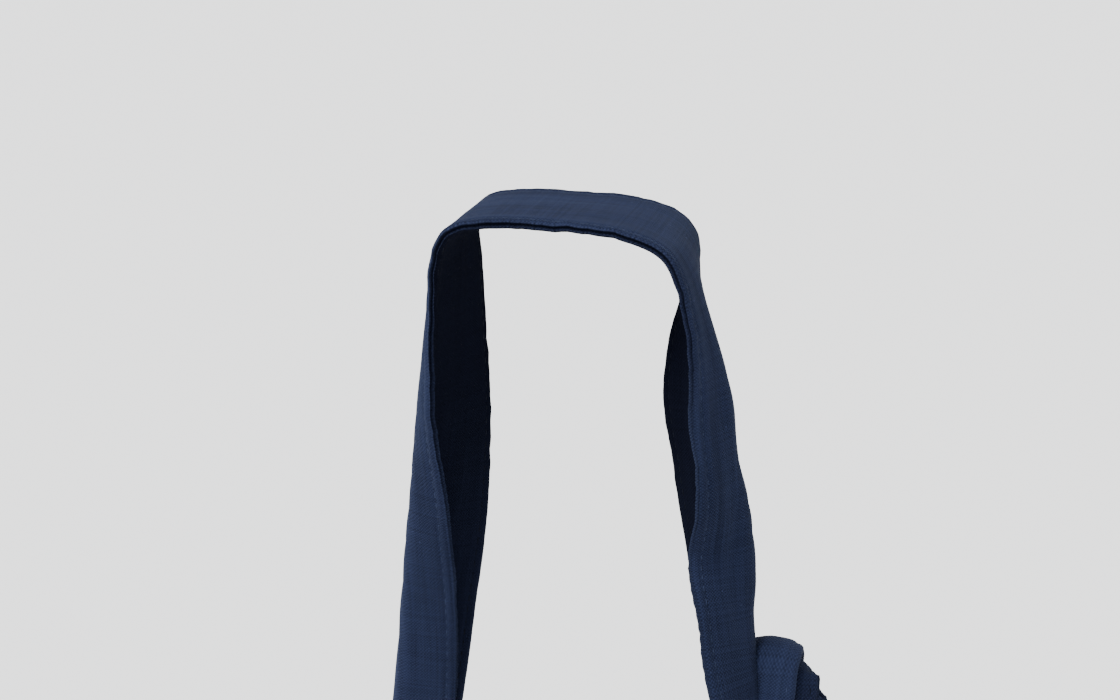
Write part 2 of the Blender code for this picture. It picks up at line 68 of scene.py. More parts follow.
SWING = Vector(joint("bag_swing")["pos_m"])
BAG_X = SWING.x
BASE_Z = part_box("gusset")[0].z
TOP_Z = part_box("gusset")[1].z
HALF_WIDTH = (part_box("gusset")[1].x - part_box("gusset")[0].x) / 2
BAG_HEIGHT = TOP_Z - BASE_Z


# ------------------------------------------------------------------ materials

def mix_rgb(tree, factor, first, second):
    mix = tree.nodes.new("ShaderNodeMix")
    mix.data_type = "RGBA"
    for socket, value in ((mix.inputs[0], factor), (mix.inputs[6], first), (mix.inputs[7], second)):
        if isinstance(value, bpy.types.NodeSocket):
            tree.links.new(value, socket)
        elif isinstance(value, (int, float)):
            socket.default_value = value
        else:
            socket.default_value = (*value, 1)
    return mix.outputs[2]


def math_node(tree, operation, first, second=0.0, third=None):
    node = tree.nodes.new("ShaderNodeMath")
    node.operation = operation
    values = [first, second] if third is None else [first, second, third]
    for socket, value in zip(node.inputs, values):
        if isinstance(value, bpy.types.NodeSocket):
            tree.links.new(value, socket)
        else:
            socket.default_value = value
    return node.outputs[0]


def stretched_noise(tree, coords, scale, detail=2.0):
    """Noise in coords, with its own scale along each axis (cycles for each metre)."""
    mapping = tree.nodes.new("ShaderNodeMapping")
    mapping.inputs["Scale"].default_value = scale
    tree.links.new(coords, mapping.inputs["Vector"])
    texture = tree.nodes.new("ShaderNodeTexNoise")
    texture.inputs["Scale"].default_value = 1
    texture.inputs["Detail"].default_value = detail
    tree.links.new(mapping.outputs[0], texture.inputs["Vector"])
    return texture.outputs["Fac"]


def ramp(tree, value, low, high):
    """value from low to high, as 0 to 1."""
    node = tree.nodes.new("ShaderNodeMapRange")
    node.interpolation_type = "SMOOTHSTEP"
    tree.links.new(value, node.inputs["Value"])
    node.inputs["From Min"].default_value = low
    node.inputs["From Max"].default_value = high
    return node.outputs[0]


def new_material(name):
    """A material, its node tree and its shader."""
    material = bpy.data.materials.new(name)
    material.use_nodes = True
    return material, material.node_tree, material.node_tree.nodes["Principled BSDF"]


def bump(tree, height, strength, distance):
    node = tree.nodes.new("ShaderNodeBump")
    node.inputs["Strength"].default_value = strength
    node.inputs["Distance"].default_value = distance
    tree.links.new(height, node.inputs["Height"])
    return node


def painted(tree, name):
    """A value that the mesh carries at its points, or 0 where it has none."""
    node = tree.nodes.new("ShaderNodeAttribute")
    node.attribute_name = name
    return node.outputs["Fac"]


def toned(tree, colour, towards, value, low, high, share):
    """colour, moved by a share towards another one where value goes from low to high."""
    factor = math_node(tree, "MULTIPLY", ramp(tree, value, low, high), share)
    return mix_rgb(tree, factor, colour, towards)


PAINTED_SHADE_NAVY = (0.0027, 0.0029, 0.0054)  # painted shade: near-black navy that stands in for the shadow on the strap's inner side


def cloth_colour(tree, uv, weave, slub, painted_shade, base, light, dark):
    """The threads' tones, cloudy, with flecks and worn edges, painted light and shade of soft creases, and
    painted shade on the strap's inner side.
    """
    cloudy = stretched_noise(tree, uv, (38, 18, 1), 3)
    fleck = stretched_noise(tree, uv, (1500, 1500, 1), 1)
    crease_light_and_shade = stretched_noise(tree, uv, (300, 12, 1), 2)  # painted light and shade of long soft creases
    colour = mix_rgb(tree, ramp(tree, slub, 0.72, 1.28), dark, base)
    colour = mix_rgb(tree, ramp(tree, weave, -0.6, 1.6), colour, light)
    colour = toned(tree, colour, light, cloudy, 0.45, 0.75, 0.35)
    # painted light and shade: lighter and darker bands along the creases
    colour = toned(tree, colour, light, crease_light_and_shade, 0.52, 0.70, 0.25)
    colour = toned(tree, colour, dark, crease_light_and_shade, 0.48, 0.30, 0.35)
    colour = toned(tree, colour, [2.2 * c + 0.006 for c in light], fleck, 0.74, 0.80, 0.5)
    rub = math_node(tree, "MULTIPLY", painted(tree, "wear"), ramp(tree, slub, 0.8, 1.3))
    colour = mix_rgb(tree, math_node(tree, "MULTIPLY", rub, 0.6), colour, [1.7 * c + 0.003 for c in light])
    # painted shade: where the mesh asks for it, on the strap's inner side, the colour goes most of the way
    # to near-black navy
    return mix_rgb(tree, math_node(tree, "MULTIPLY", painted_shade, 0.85), colour, PAINTED_SHADE_NAVY)


def woven(name, base, light, dark, pitch=0.31 * MM, depth=0.10 * MM, sheen=0.04):
    """Plain-woven cloth. Its UV map is in metres: across the cloth, then along it."""
    material, tree, shader = new_material(name)
    uv = tree.nodes.new("ShaderNodeUVMap").outputs[0]
    split = tree.nodes.new("ShaderNodeSeparateXYZ")
    tree.links.new(uv, split.inputs[0])

    # each thread wanders a little and is thick and thin
    wander = stretched_noise(tree, uv, (260, 260, 1), 3)
    across = math_node(tree, "MULTIPLY_ADD", wander, 0.9 * MM, split.outputs[0])
    along = math_node(tree, "MULTIPLY_ADD", wander, 0.9 * MM, split.outputs[1])
    waves = [
        math_node(tree, "COSINE", math_node(tree, "MULTIPLY", value, math.pi / pitch))
        for value in (across, along)
    ]
    weave = math_node(tree, "MULTIPLY", *waves)
    warp = stretched_noise(tree, uv, (2300, 45, 1), 2)
    weft = stretched_noise(tree, uv, (45, 2300, 1), 2)
    slub = math_node(tree, "ADD", warp, weft)
    crumple = stretched_noise(tree, uv, (120, 60, 1), 4)
    painted_shade = painted(tree, "painted_shade")
    colour = cloth_colour(tree, uv, weave, slub, painted_shade, base, light, dark)
    tree.links.new(colour, shader.inputs["Base Color"])

    threads = bump(tree, math_node(tree, "MULTIPLY_ADD", slub, 0.9, weave), 0.55, depth)
    soft = bump(tree, crumple, 0.6, 0.9 * MM)
    tree.links.new(soft.outputs[0], threads.inputs["Normal"])
    tree.links.new(threads.outputs[0], shader.inputs["Normal"])
    # painted shade: where it is painted, the specular and the sheen fade out too, so it stays near-black
    unshaded = math_node(tree, "MULTIPLY_ADD", painted_shade, -0.92, 1.0)
    shader.inputs["Roughness"].default_value = 0.92
    tree.links.new(math_node(tree, "MULTIPLY", unshaded, 0.03), shader.inputs["Specular IOR Level"])
    tree.links.new(math_node(tree, "MULTIPLY", unshaded, sheen), shader.inputs["Sheen Weight"])
    shader.inputs["Sheen Roughness"].default_value = 0.6
    shader.inputs["Sheen Tint"].default_value = (0.42, 0.53, 0.88, 1)
    return material


def thread_material(name, colour):
    material, tree, shader = new_material(name)
    place = tree.nodes.new("ShaderNodeTexCoord").outputs["Object"]
    twist = stretched_noise(tree, place, (2600, 2600, 2600), 1)
    tone = mix_rgb(tree, ramp(tree, twist, 0.35, 0.65), [0.6 * c for c in colour], [1.3 * c for c in colour])
    tree.links.new(tone, shader.inputs["Base Color"])
    shader.inputs["Roughness"].default_value = 0.8
    shader.inputs["Specular IOR Level"].default_value = 0.05
    shader.inputs["Sheen Weight"].default_value = 0.05
    shader.inputs["Sheen Tint"].default_value = (0.45, 0.55, 0.8, 1)
    return material


NAVY = woven("navy_linen", (0.0074, 0.0102, 0.0262), (0.0143, 0.0197, 0.0455), (0.0031, 0.0042, 0.0112))
THREAD = thread_material("navy_thread", (0.0125, 0.0170, 0.0370))
STRAP_THREAD = thread_material("strap_thread", (0.0140, 0.0192, 0.0410))
# painted shade: a near-black copy of the strap's thread, for the stitches on its shadowed inner face
PAINTED_SHADE_THREAD = thread_material("strap_inner_thread_in_painted_shade", (0.0022, 0.0029, 0.0062))


# ------------------------------------------------------------------ meshes

def add_mesh(name, points, faces, material, smooth=True):
    mesh = bpy.data.meshes.new(name)
    mesh.from_pydata([tuple(p) for p in points], [], faces)
    mesh.materials.append(material)
    if smooth:
        mesh.shade_smooth()
    obj = bpy.data.objects.new(name, mesh)
    bpy.context.scene.collection.objects.link(obj)
    return obj


def set_uv(obj, uv):
    """uv holds one pair for each vertex, in metres."""
    layer = obj.data.uv_layers.new(name="UVMap")
    loops = np.zeros(len(obj.data.loops), np.int32)
    obj.data.loops.foreach_get("vertex_index", loops)
    layer.data.foreach_set("uv", np.asarray(uv, np.float32)[loops].ravel())


def set_values(obj, name, values):
    attribute = obj.data.attributes.new(name, "FLOAT", "POINT")
    attribute.data.foreach_set("value", np.asarray(values, np.float32))


def grid_faces(rows, columns, closed=False):
    faces = []
    for low in range(0, (rows - 1) * columns, columns):
        high = low + columns
        for i in range(columns if closed else columns - 1):
            k = (i + 1) % columns
            faces.append((low + i, low + k, high + k, high + i))
    return faces


def tube_faces(rings, sides):
    """Faces of a tube with closed ends, ring after ring."""
    faces = grid_faces(rings, sides, closed=True)
    faces.append(tuple(range(sides))[::-1])
    faces.append(tuple(range((rings - 1) * sides, rings * sides)))
    return faces


def face_outwards(obj):
    mesh = bmesh.new()
    mesh.from_mesh(obj.data)
    bmesh.ops.recalc_face_normals(mesh, faces=mesh.faces)
    mesh.to_mesh(obj.data)
    mesh.free()


def catmull_rom(a, b, c, d, t):
    """The point at the share t of the way from b to c."""
    bend = (2 * a - 5 * b + 4 * c - d) * t * t + (3 * b - a - 3 * c + d) * t ** 3
    return 0.5 * (2 * b + (c - a) * t + bend)


def travelled(points):
    """Distance along a line of points to each of them."""
    return np.concatenate([[0], np.cumsum(np.linalg.norm(np.diff(points, axis=0), axis=1))])


def interpolated(where, places, values):
    """The rows of values, which belong to places, read in between at where."""
    return np.array([np.interp(where, places, column) for column in values.T])


def settle(obj, body, slot, *nodes):
    """The piece rides on a body and stands for CAD nodes, which it hides. The slot is not used."""
    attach(obj, body)
    if nodes:
        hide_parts(*nodes)


# ------------------------------------------------------------------ strap

STRAP_WIDTH = 25.0  # mm, as are the other numbers of the strap
STRAP_HALF_THICKNESS = 0.92
EDGE_STITCH = 1.7  # stitch line from each edge
STITCH_LENGTH = 2.3
EDGE_ROUNDING = 0.95
STRAP_END_X = 82.5  # each sewn end from the middle of the bag
LEFT_END_X = SWING.x / MM - STRAP_END_X
RIGHT_END_X = SWING.x / MM + STRAP_END_X
END_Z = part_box("strap_end_left")[0].z / MM  # sewn between the panels down to here

# Strands: place of the strap's middle, heading of its first leaf (from the near edge, degrees
# from the Y axis towards the loop's outside), heading of its second leaf, where it folds (mm
# from the near edge), and how crumpled it is.
LEFT_STRAND = [
    (LEFT_END_X, 0, END_Z, 90, 90, 12, 0.1),
    (LEFT_END_X, 0, -434, 90, 90, 12, 0.2),
    (LEFT_END_X + 0.6, 0, -420, 90, 90, 12, 0.3),
    (-67.8, 0, -385, 90, 88, 12, 0.5),
    (-59.0, 0, -310, 90, 80, 12, 0.5),
    (-48.8, 0, -230, 88, 50, 12, 0.5),
    (-39.8, 0, -165, 88, -8, 12, 0.5),
    (-32.4, 0, -125, 102, -60, 12, 0.5),
    (-28.4, 0, -99, 102, -66, 11.6, 0.45),
    (-26.3, 0, -77, 94, -60, 10.3, 0.4),
    (-24.3, 0, -55, 76, -40, 7.6, 0.35),
    (-22.8, 0, -31, 40, -18, 4.5, 0.3),
    (-22.0, 0, -14, 12, -8, 5, 0.25),
    (-21.4, 0, -6.2, 1, -2, 6, 0.25),
]
TOP = [
    (-18.9, 0, -1.9, -2, -2, 8, 0.2),
    (-14.0, 0, -0.1, -2.5, -2.5, 8, 0.2),
    (-7.0, 0, 0.45, -2.5, -2.5, 8, 0.2),
    (0.0, 0, 0.5, -2.5, -2.5, 8, 0.2),
    (7.0, 0, 0.35, -2.5, -2.5, 8, 0.2),
    (13.5, 0, -0.6, -2.5, -2.5, 8, 0.2),
    (18.6, 0, -3.0, -2, -4, 8, 0.2),
]
RIGHT_STRAND = [
    (21.3, 0, -7.5, 3, -8, 8, 0.3),
    (22.6, 0, -16, 12, -24, 8, 0.4),
    (24.0, 0, -33, 36, -60, 9.4, 1.3),
    (26.2, 0, -48, 42, -68, 10.2, 1.7),
    (28.0, 0, -62, 50, -98, 12.8, 1.7),
]
# Knot: place, direction of the first leaf, turn from the first leaf to the second, fold (mm
# from the first edge), bow of both leaves across their width.
KNOT = [
    (29.7, -3.0, -73, (0.42, 0.90, 0.15), -166, 14.5, -30),
    (32.7, -7.0, -84, (0.36, 0.92, 0.2), -175, 14.8, -45),
    (35.0, -7.6, -94, (0.42, 0.90, 0.25), -176, 14.6, -50),
    (36.6, -3.0, -105, (0.8, -0.1, 0.6), -172, 13, -60),
    (42.2, 2.5, -109, (0.0, -0.3, 0.9), -172, 13, -60),
    (40.4, 8.4, -101, (-0.7, -0.35, 0.5), -172, 13.6, 40),
    (38.4, 9.0, -91.5, (-0.95, -0.1, 0.25), -172, 13.6, 70),
    (38.8, 5.0, -83.2, (-1.0, 0.0, 0.3), -172, 13.6, 85),
    (39.0, -0.6, -82.4, (-1.0, 0.0, 0.3), -172, 13.6, 85),
    (38.8, -4.0, -89.0, (-0.97, 0.05, 0.25), -172, 13.6, 80),
    (35.4, -10.8, -99.5, (-0.80, -0.1, 0.6), -172, 13.6, 70),
    (29.5, -6.5, -108, (-0.2, 0.1, 0.95), -172, 13, 60),
    (28.5, 2.5, -109, (0.2, 0.0, 0.95), -172, 13, 60),
    (33.5, 8.0, -107, (0.6, 0.0, 0.8), -172, 13, 60),
    (39.0, 5.0, -113, (0.9, 0.0, 0.4), -165, 13, 40),
]
LOWER_STRAND = [
    (42.0, 2, -124, 70, -90, 10.5, 0.9),
    (45.4, 0, -138, 68, -66, 10.5, 0.7),
    (49.6, 0, -160, 72, -32, 10, 0.6),
    (56.6, 0, -200, 80, 26, 11, 0.5),
    (67.0, 0, -266, 86, 72, 12, 0.5),
    (80.5, 0, -346, 90, 88, 12, 0.5),
    (RIGHT_END_X - 0.8, 0, -420, 90, 90, 12, 0.3),
    (RIGHT_END_X, 0, -434, 90, 90, 12, 0.2),
    (RIGHT_END_X, 0, END_Z, 90, 90, 12, 0.1),
]
ROW_STEP = 1.1
FOLD_SOFTNESS = 2.2  # half of the length over which a fold turns
KNOT_SOFTNESS = 2.4
KNOT_CRUMPLE = 0.8
CRUMPLE_HEIGHT = 0.42
OUTSIDE, INSIDE = 1, -1  # faces of the strap: out of the loop and into it
FINE = np.linspace(0, STRAP_WIDTH, 101)  # across the strap
EDGE_COLUMNS = np.array([0.12, 0.45, 0.9, 1.3, 1.7, 2.1, 2.7])
COLUMNS = np.concatenate([EDGE_COLUMNS, np.arange(3.5, 22), STRAP_WIDTH - EDGE_COLUMNS[::-1]])


def smooth(t):
    t = np.clip(t, 0.0, 1.0)
    return t * t * (3 - 2 * t)


def strap_stations():
    """One row for each station: place, first leaf's direction, turn, fold, softness, crumple, bow."""
    upper = LEFT_STRAND + TOP + RIGHT_STRAND
    rows = []
    for strand in (upper, LOWER_STRAND):
        places = [Vector(s[:3]) for s in strand]
        for i, s in enumerate(strand):
            ahead, behind = places[min(i + 1, len(strand) - 1)], places[max(i - 1, 0)]
            tangent = (ahead - behind).normalized()
            out = tangent.cross(Vector((0, 1, 0))).normalized()
            deep = out.cross(tangent)
            heading = math.radians(s[3])
            lead = out * math.sin(heading) + deep * math.cos(heading)
            rows.append([*s[:3], *lead, s[4] - s[3], s[5], FOLD_SOFTNESS, s[6], 0.0])
        if strand is upper:
            rows += [[*s[:3], *s[3], s[4], s[5], KNOT_SOFTNESS, KNOT_CRUMPLE, s[6]] for s in KNOT]
    return np.array(rows, float)


def along_spline(stations, step):
    """Rows about a step apart on a smooth curve through the stations."""
    last = len(stations) - 1
    rows = []
    for i in range(last):
        a, b, c, d = (stations[min(last, max(0, i + k))] for k in (-1, 0, 1, 2))
        count = max(1, round(np.linalg.norm(c[:3] - b[:3]) / step))
        rows += [catmull_rom(a, b, c, d, k / count) for k in range(count)]
    return np.array(rows + [stations[last]])


def half_thickness(s):
    """Puffed beyond each stitch line and drawn in at it."""
    from_edge = min(s, STRAP_WIDTH - s)
    puff = STRAP_HALF_THICKNESS
    if from_edge < EDGE_ROUNDING:
        puff *= math.sqrt(max(0.0, 1 - (1 - from_edge / EDGE_ROUNDING) ** 2))
    return puff - 0.26 * math.exp(-(((from_edge - EDGE_STITCH) / 0.4) ** 2))


def ruffle(s, v):
    """Lengthwise ripples of the cloth, at s across the strap and v along it."""
    slow = noise.noise(Vector((s / 7.0, v / 34.0, 0)))
    fast = noise.noise(Vector((s / 3.2, v / 13.0, 9)))
    return 1.1 * slow + 1.0 * fast


def edge_wave(s, v):
    """How the stitching puckers the strap's edges up and down."""
    from_edge = min(s, STRAP_WIDTH - s)
    seed = 17 if s < STRAP_WIDTH / 2 else 23
    wave = noise.noise(Vector((v / 2.7, 0, seed))) + 0.8 * noise.noise(Vector((v / 8.0, 0, seed + 3)))
    return 0.27 * math.exp(-((from_edge / 2.4) ** 2)) * wave


def cloth_lift(s, v, crumple, held=0.0):
    """Height of the crumpled cloth over the strap's smooth form. Stitches hold it down."""
    return crumple * CRUMPLE_HEIGHT * ruffle(s, v) * (1 - 0.6 * held) + edge_wave(s, v)


def strap_rows():
    """Rows along the strap: distance, points and normals across it at FINE, and crumple."""
    line = along_spline(strap_stations(), ROW_STEP)
    places = line[:, :3]
    tangents = np.gradient(places, axis=0)
    tangents /= np.linalg.norm(tangents, axis=1)[:, None]
    mid = (FINE[:-1] + FINE[1:]) / 2
    rows = []
    for row, tangent, v in zip(line, tangents, travelled(places)):
        lead = row[3:6] - tangent * row[3:6].dot(tangent)
        lead /= np.linalg.norm(lead)
        side = np.cross(tangent, lead)
        turn, fold, softness, crumple, bow = row[6:11]
        from_fold = np.minimum(mid, 2 * fold - mid) / fold
        heading = np.radians(turn * smooth((mid - fold) / (2 * softness) + 0.5) + bow * (from_fold - 0.5))
        heading = heading + 0.05 * crumple * np.array([noise.noise(Vector((s / 6, v / 22, 3))) for s in mid])
        steps = np.outer(np.cos(heading), lead) + np.outer(np.sin(heading), side)
        points = np.concatenate([[np.zeros(3)], np.cumsum(steps * (FINE[1] - FINE[0]), axis=0)])
        points = points - points.mean(axis=0) + row[:3]
        headings = np.concatenate([heading[:1], (heading[1:] + heading[:-1]) / 2, heading[-1:]])
        normals = np.outer(-np.sin(headings), lead) + np.outer(np.cos(headings), side)
        rows.append((v, points, normals, crumple))
    return rows


def across_row(values, s):
    """A row's point or normal at the distance s across the strap."""
    return interpolated(s, FINE, values)


def inner_painted_shade(place):
    """How much painted shade the strap's inner side takes: less low down, and less from the knot on."""
    if place[0] < 0:
        return 1 - 0.5 * smooth((-30 - place[2]) / 70)
    return 1 - 0.8 * smooth((-74 - place[2]) / 8)


def make_strap(rows):
    """The strap's mesh, with a slit along its first edge, where its two folded edges meet."""
    outline = [(s, OUTSIDE) for s in COLUMNS] + [(s, INSIDE) for s in COLUMNS[::-1]]
    slit = [(-0.12, -0.5), (0.75, -0.06), (0.75, 0.06), (-0.05, 0.5)]  # across, share of the half thickness
    verts, uvs, wear, painted_shade = [], [], [], []
    for v, points, normals, crumple in rows:
        pucker = abs(math.sin(math.pi * v / STITCH_LENGTH))
        for s, face in outline:
            from_edge = min(s, STRAP_WIDTH - s)
            near = math.exp(-((from_edge - EDGE_STITCH) / 0.7) ** 2)
            height = face * (half_thickness(s) + 0.12 * near * pucker) + cloth_lift(s, v, crumple, near)
            verts.append(across_row(points, s) + across_row(normals, s) * height)
            uvs.append((s * MM + (0.04 if face == INSIDE else 0), v * MM))
            wear.append(max(0.0, 0.75 - crumple) * math.exp(-((from_edge / 0.5) ** 2)))
            # painted shade on the inner face, for the shadow inside the folded strap
            painted_shade.append(inner_painted_shade(points[50]) if face == INSIDE else 0.0)
        edge = 0.22 * pucker + 0.4 * noise.noise(Vector((v / 7, 0, 5)))
        inwards = across_row(points, 0.9) - across_row(points, 0.3)
        inwards /= np.linalg.norm(inwards)
        for s, share in slit:
            outer = s < 0.5
            shift = edge * (1 if share > 0 else 1.6) if outer else 0
            height = share * STRAP_HALF_THICKNESS + cloth_lift(0.1, v, crumple)
            verts.append(points[0] + inwards * (s - shift * 0.5) + normals[0] * height)
            uvs.append((s * MM, v * MM))
            wear.append(max(0.0, 0.9 - crumple) if outer else 0.0)
            # painted shade on the inner faces of the slit
            painted_shade.append(0.0 if outer else 0.8)
    columns = len(outline) + len(slit)
    obj = add_mesh("strap", np.array(verts) * MM, tube_faces(len(rows), columns), NAVY)
    set_uv(obj, uvs)
    set_values(obj, "wear", wear)
    set_values(obj, "painted_shade", painted_shade)
    return obj


# Rings of a stitch: share of its length, share of its radius, height in radii.
THREAD_RINGS = ((0, 0.35, -1.1), (0.18, 0.95, -0.15), (0.5, 1.05, 0.1), (0.82, 0.95, -0.15), (1, 0.35, -1.1))


def capsules(name, segments, radius, material, sides=6):
    """Short lengths of thread: each segment is (start, end, up), in metres."""
    verts, faces = [], []
    thread = tube_faces(len(THREAD_RINGS), sides)
    for start, end, up in segments:
        start, end = Vector(start), Vector(end)
        axis = (end - start).normalized()
        across = axis.cross(Vector(up)).normalized()
        up = across.cross(axis)
        base = len(verts)
        for t, size, height in THREAD_RINGS:
            middle = start.lerp(end, t) + up * height * radius
            for k in range(sides):
                angle = 2 * math.pi * k / sides
                verts.append(middle + (across * math.cos(angle) + up * math.sin(angle)) * radius * size)
        faces += [tuple(base + k for k in face) for face in thread]
    return add_mesh(name, verts, faces, material)


def strap_stitches(rows, s, face):
    """Edge stitches on one face of the strap, at the distance s across it."""
    travel = np.array([row[0] for row in rows])
    line, ups = [], []
    for v, points, normals, crumple in rows:
        normal = across_row(normals, s)
        height = face * (half_thickness(s) + 0.03) + cloth_lift(s, v, crumple, held=1.0)
        line.append(across_row(points, s) + normal * height)
        ups.append(normal * face)
    line, ups = np.array(line), np.array(ups)

    segments = []
    for k in range(int(travel[-1] / STITCH_LENGTH)):
        low = (k + 0.12 + 0.04 * noise.noise(Vector((k * 1.7, s, 0)))) * STITCH_LENGTH
        high = (k + 0.88) * STITCH_LENGTH
        ends = [interpolated(v, travel, line) * MM for v in (low, high)]
        segments.append((*ends, interpolated(low, travel, ups)))
    return segments


def bend_strap(obj):
    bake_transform(obj)


def hang_strap():
    rows = strap_rows()
    strap = make_strap(rows)
    bend_strap(strap)
    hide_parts("strap_upper", "strap_knot", "strap_lower", "strap_end_left", "strap_end_right")
    for name, face, thread in (("outer", OUTSIDE, STRAP_THREAD), ("inner", INSIDE, PAINTED_SHADE_THREAD)):
        segments = []
        for s in (EDGE_STITCH, STRAP_WIDTH - EDGE_STITCH):
            segments += strap_stitches(rows, s, face)
        bend_strap(capsules(f"strap_stitches_{name}", segments, 0.15 * MM, thread))


hang_strap()


# ------------------------------------------------------------------ shape of the bag

CORNER = 28 * MM
CORNER_SHARE = 1 - CORNER / BAG_HEIGHT
CLOTH = 1.4 * MM
PANEL_THICKNESS = 0.9 * MM  # of the panels' and gusset's visible cloth
SIDES = (("front", -1, 1.0), ("back", 1, 0.62))  # name, side, fullness
ACROSS, SIDE_ROWS, CORNER_ROWS, GUSSET_ROWS = 40, 38, 12, 8  # coarse grid
FINER = 3  # fine grid's rows for each coarse one
MOUTH_DEPTH = 1.35 * MM  # half of the bag's depth at its mouth, by the side seam
SIDE_DEPTH = 22.2 * MM  # how much that half grows downwards
FULL_DEPTH_AT = 0.9  # share of the height where it has grown
SAG_FRAMES = 22
SWELL_CAP, SINK_CAP = 6 * MM, 0.9 * MM  # the lining is close inside


def edge_depth(share):
    """Half of the gusset's width, share from 0 to 1 down the bag."""
    share = np.clip(np.asarray(share, float) / FULL_DEPTH_AT, 0, 1)
    return MOUTH_DEPTH + SIDE_DEPTH * np.sin(math.pi / 2 * share) ** 1.2


def panel_depth(u, share, fullness):
    """Half of the bag's depth inside a panel, u from -1 to 1 across and share from 0 to 1 down."""
    mouth = 1 - np.minimum(1.0, np.abs(u) / 0.735) ** 10
    pillow = 1 - u * u
    across = mouth + (pillow - mouth) * smooth(share / 0.16)
    swell = 4.6 * MM * (1 - share) ** 2
    swell = swell + fullness * 13 * MM * np.sin(math.pi * share) + fullness * 2 * MM * share
    return edge_depth(share) + swell * across


def half_width_at(share):
    """Half of a panel's width, which its lower corners round off."""
    over_base = (1 - np.asarray(share, float)) * BAG_HEIGHT
    drop = CORNER - np.maximum(over_base, 0)
    in_corner = HALF_WIDTH - CORNER + np.sqrt(np.maximum(0.0, CORNER * CORNER - drop * drop))
    return np.where(over_base >= CORNER, HALF_WIDTH, in_corner)


def row_shares():
    """Shares down the bag of the coarse grid's rows, closer round the corners."""
    side = np.linspace(0, CORNER_SHARE, SIDE_ROWS + 1)
    angles = np.linspace(0, math.pi / 2, CORNER_ROWS + 1)[1:]
    return np.concatenate([side, CORNER_SHARE + (1 - CORNER_SHARE) * np.sin(angles)])


SHARES = row_shares()
US = np.linspace(-1, 1, ACROSS + 1)


def panel_grid(side, fullness):
    u, share = np.meshgrid(US, SHARES)
    x = BAG_X + u * half_width_at(share)
    y = side * panel_depth(u, share, fullness)
    return np.stack([x, y, TOP_Z - share * BAG_HEIGHT], axis=-1)


def rim_of(grid):
    """A panel's edge: down its left side, along the base and up its right side."""
    return np.concatenate([grid[:, 0], grid[-1, 1:-1], grid[::-1, -1]])


def strip_between(front, back):
    """The gusset's lines, from the front panel's edge to the back one's."""
    first, last = rim_of(front), rim_of(back)
    return np.stack([first + (last - first) * k / GUSSET_ROWS for k in range(GUSSET_ROWS + 1)])


def bag_shell(front, back):
    """The closed bag's points and faces, and where the two panels and the gusset are in them."""
    rows, columns = front.shape[:2]
    front_index = np.arange(rows * columns).reshape(rows, columns)
    back_index = front_index + front_index.size
    strip = strip_between(front, back)
    points = np.concatenate([front.reshape(-1, 3), back.reshape(-1, 3), *strip[1:-1]])
    added = 2 * front_index.size + np.arange(strip[1:-1, :, 0].size).reshape(strip[1:-1, :, 0].shape)
    gusset_index = np.concatenate([[rim_of(front_index)], added, [rim_of(back_index)]])
    faces = []
    for grid, turned in ((front_index, False), (back_index, True), (gusset_index, True)):
        quads = np.stack([grid[:-1, :-1], grid[:-1, 1:], grid[1:, 1:], grid[1:, :-1]], axis=-1)
        faces += [tuple(q[::-1] if turned else q) for q in quads.reshape(-1, 4).tolist()]
    for near, far in zip(front_index[0, :-1].tolist(), front_index[0, 1:].tolist()):
        faces.append((far, near, near + front_index.size, far + front_index.size))
    faces += [tuple(gusset_index[:, end].tolist()) for end in (0, -1)]
    return points, faces, (front_index, back_index, gusset_index)


def inflate(obj, sewn_points):
    """Cloth simulation: the bag's cloth is a little longer than its seams allow, and it is full."""
    obj.vertex_groups.new(name="sewn").add(sewn_points, 1.0, "REPLACE")
    cloth = obj.modifiers.new("Cloth", "CLOTH")
    settings = cloth.settings
    settings.quality = 6
    settings.mass = 0.3
    settings.tension_stiffness = settings.compression_stiffness = 12
    settings.shear_stiffness = 4
    settings.bending_stiffness = 0.15
    settings.vertex_group_mass = "sewn"
    settings.shrink_min = -0.03
    settings.use_pressure = True
    settings.uniform_pressure_force = 14.0
    settings.effector_weights.gravity = 0.12
    cloth.collision_settings.use_collision = False
    cloth.point_cache.frame_end = SAG_FRAMES
    for number in range(1, SAG_FRAMES + 1):
        bpy.context.scene.frame_set(number)
    evaluated = obj.evaluated_get(bpy.context.evaluated_depsgraph_get())
    moved = np.zeros(len(obj.data.vertices) * 3)
    evaluated.data.vertices.foreach_get("co", moved)
    bpy.context.scene.frame_set(1)
    return moved.reshape(-1, 3)


def simulate(front, back):
    """The filled bag's panels and gusset, held at the seams and moved no further than the caps."""
    points, faces, (front_index, back_index, gusset_index) = bag_shell(front, back)
    sewn = {int(k) for k in np.concatenate([gusset_index[0], gusset_index[-1], *gusset_index[:, [0, -1]]])}
    for index in (front_index, back_index):
        sewn |= set(index[:2].ravel().tolist())
    obj = add_mesh("filled_bag", points, faces, NAVY)
    face_outwards(obj)
    shift = inflate(obj, sorted(sewn)) - points
    bpy.data.objects.remove(obj)
    centre = np.array((BAG_X, 0, TOP_Z - BAG_HEIGHT / 2))
    outward = np.sum(shift * (points - centre) * (1, 4, 0.3), axis=1)
    cap = np.where(outward > 0, SWELL_CAP, SINK_CAP)[:, None]
    size = np.linalg.norm(shift, axis=1)[:, None]
    points = points + shift * cap / np.sqrt(cap ** 2 + size ** 2)
    return points[front_index], points[back_index], points[gusset_index]


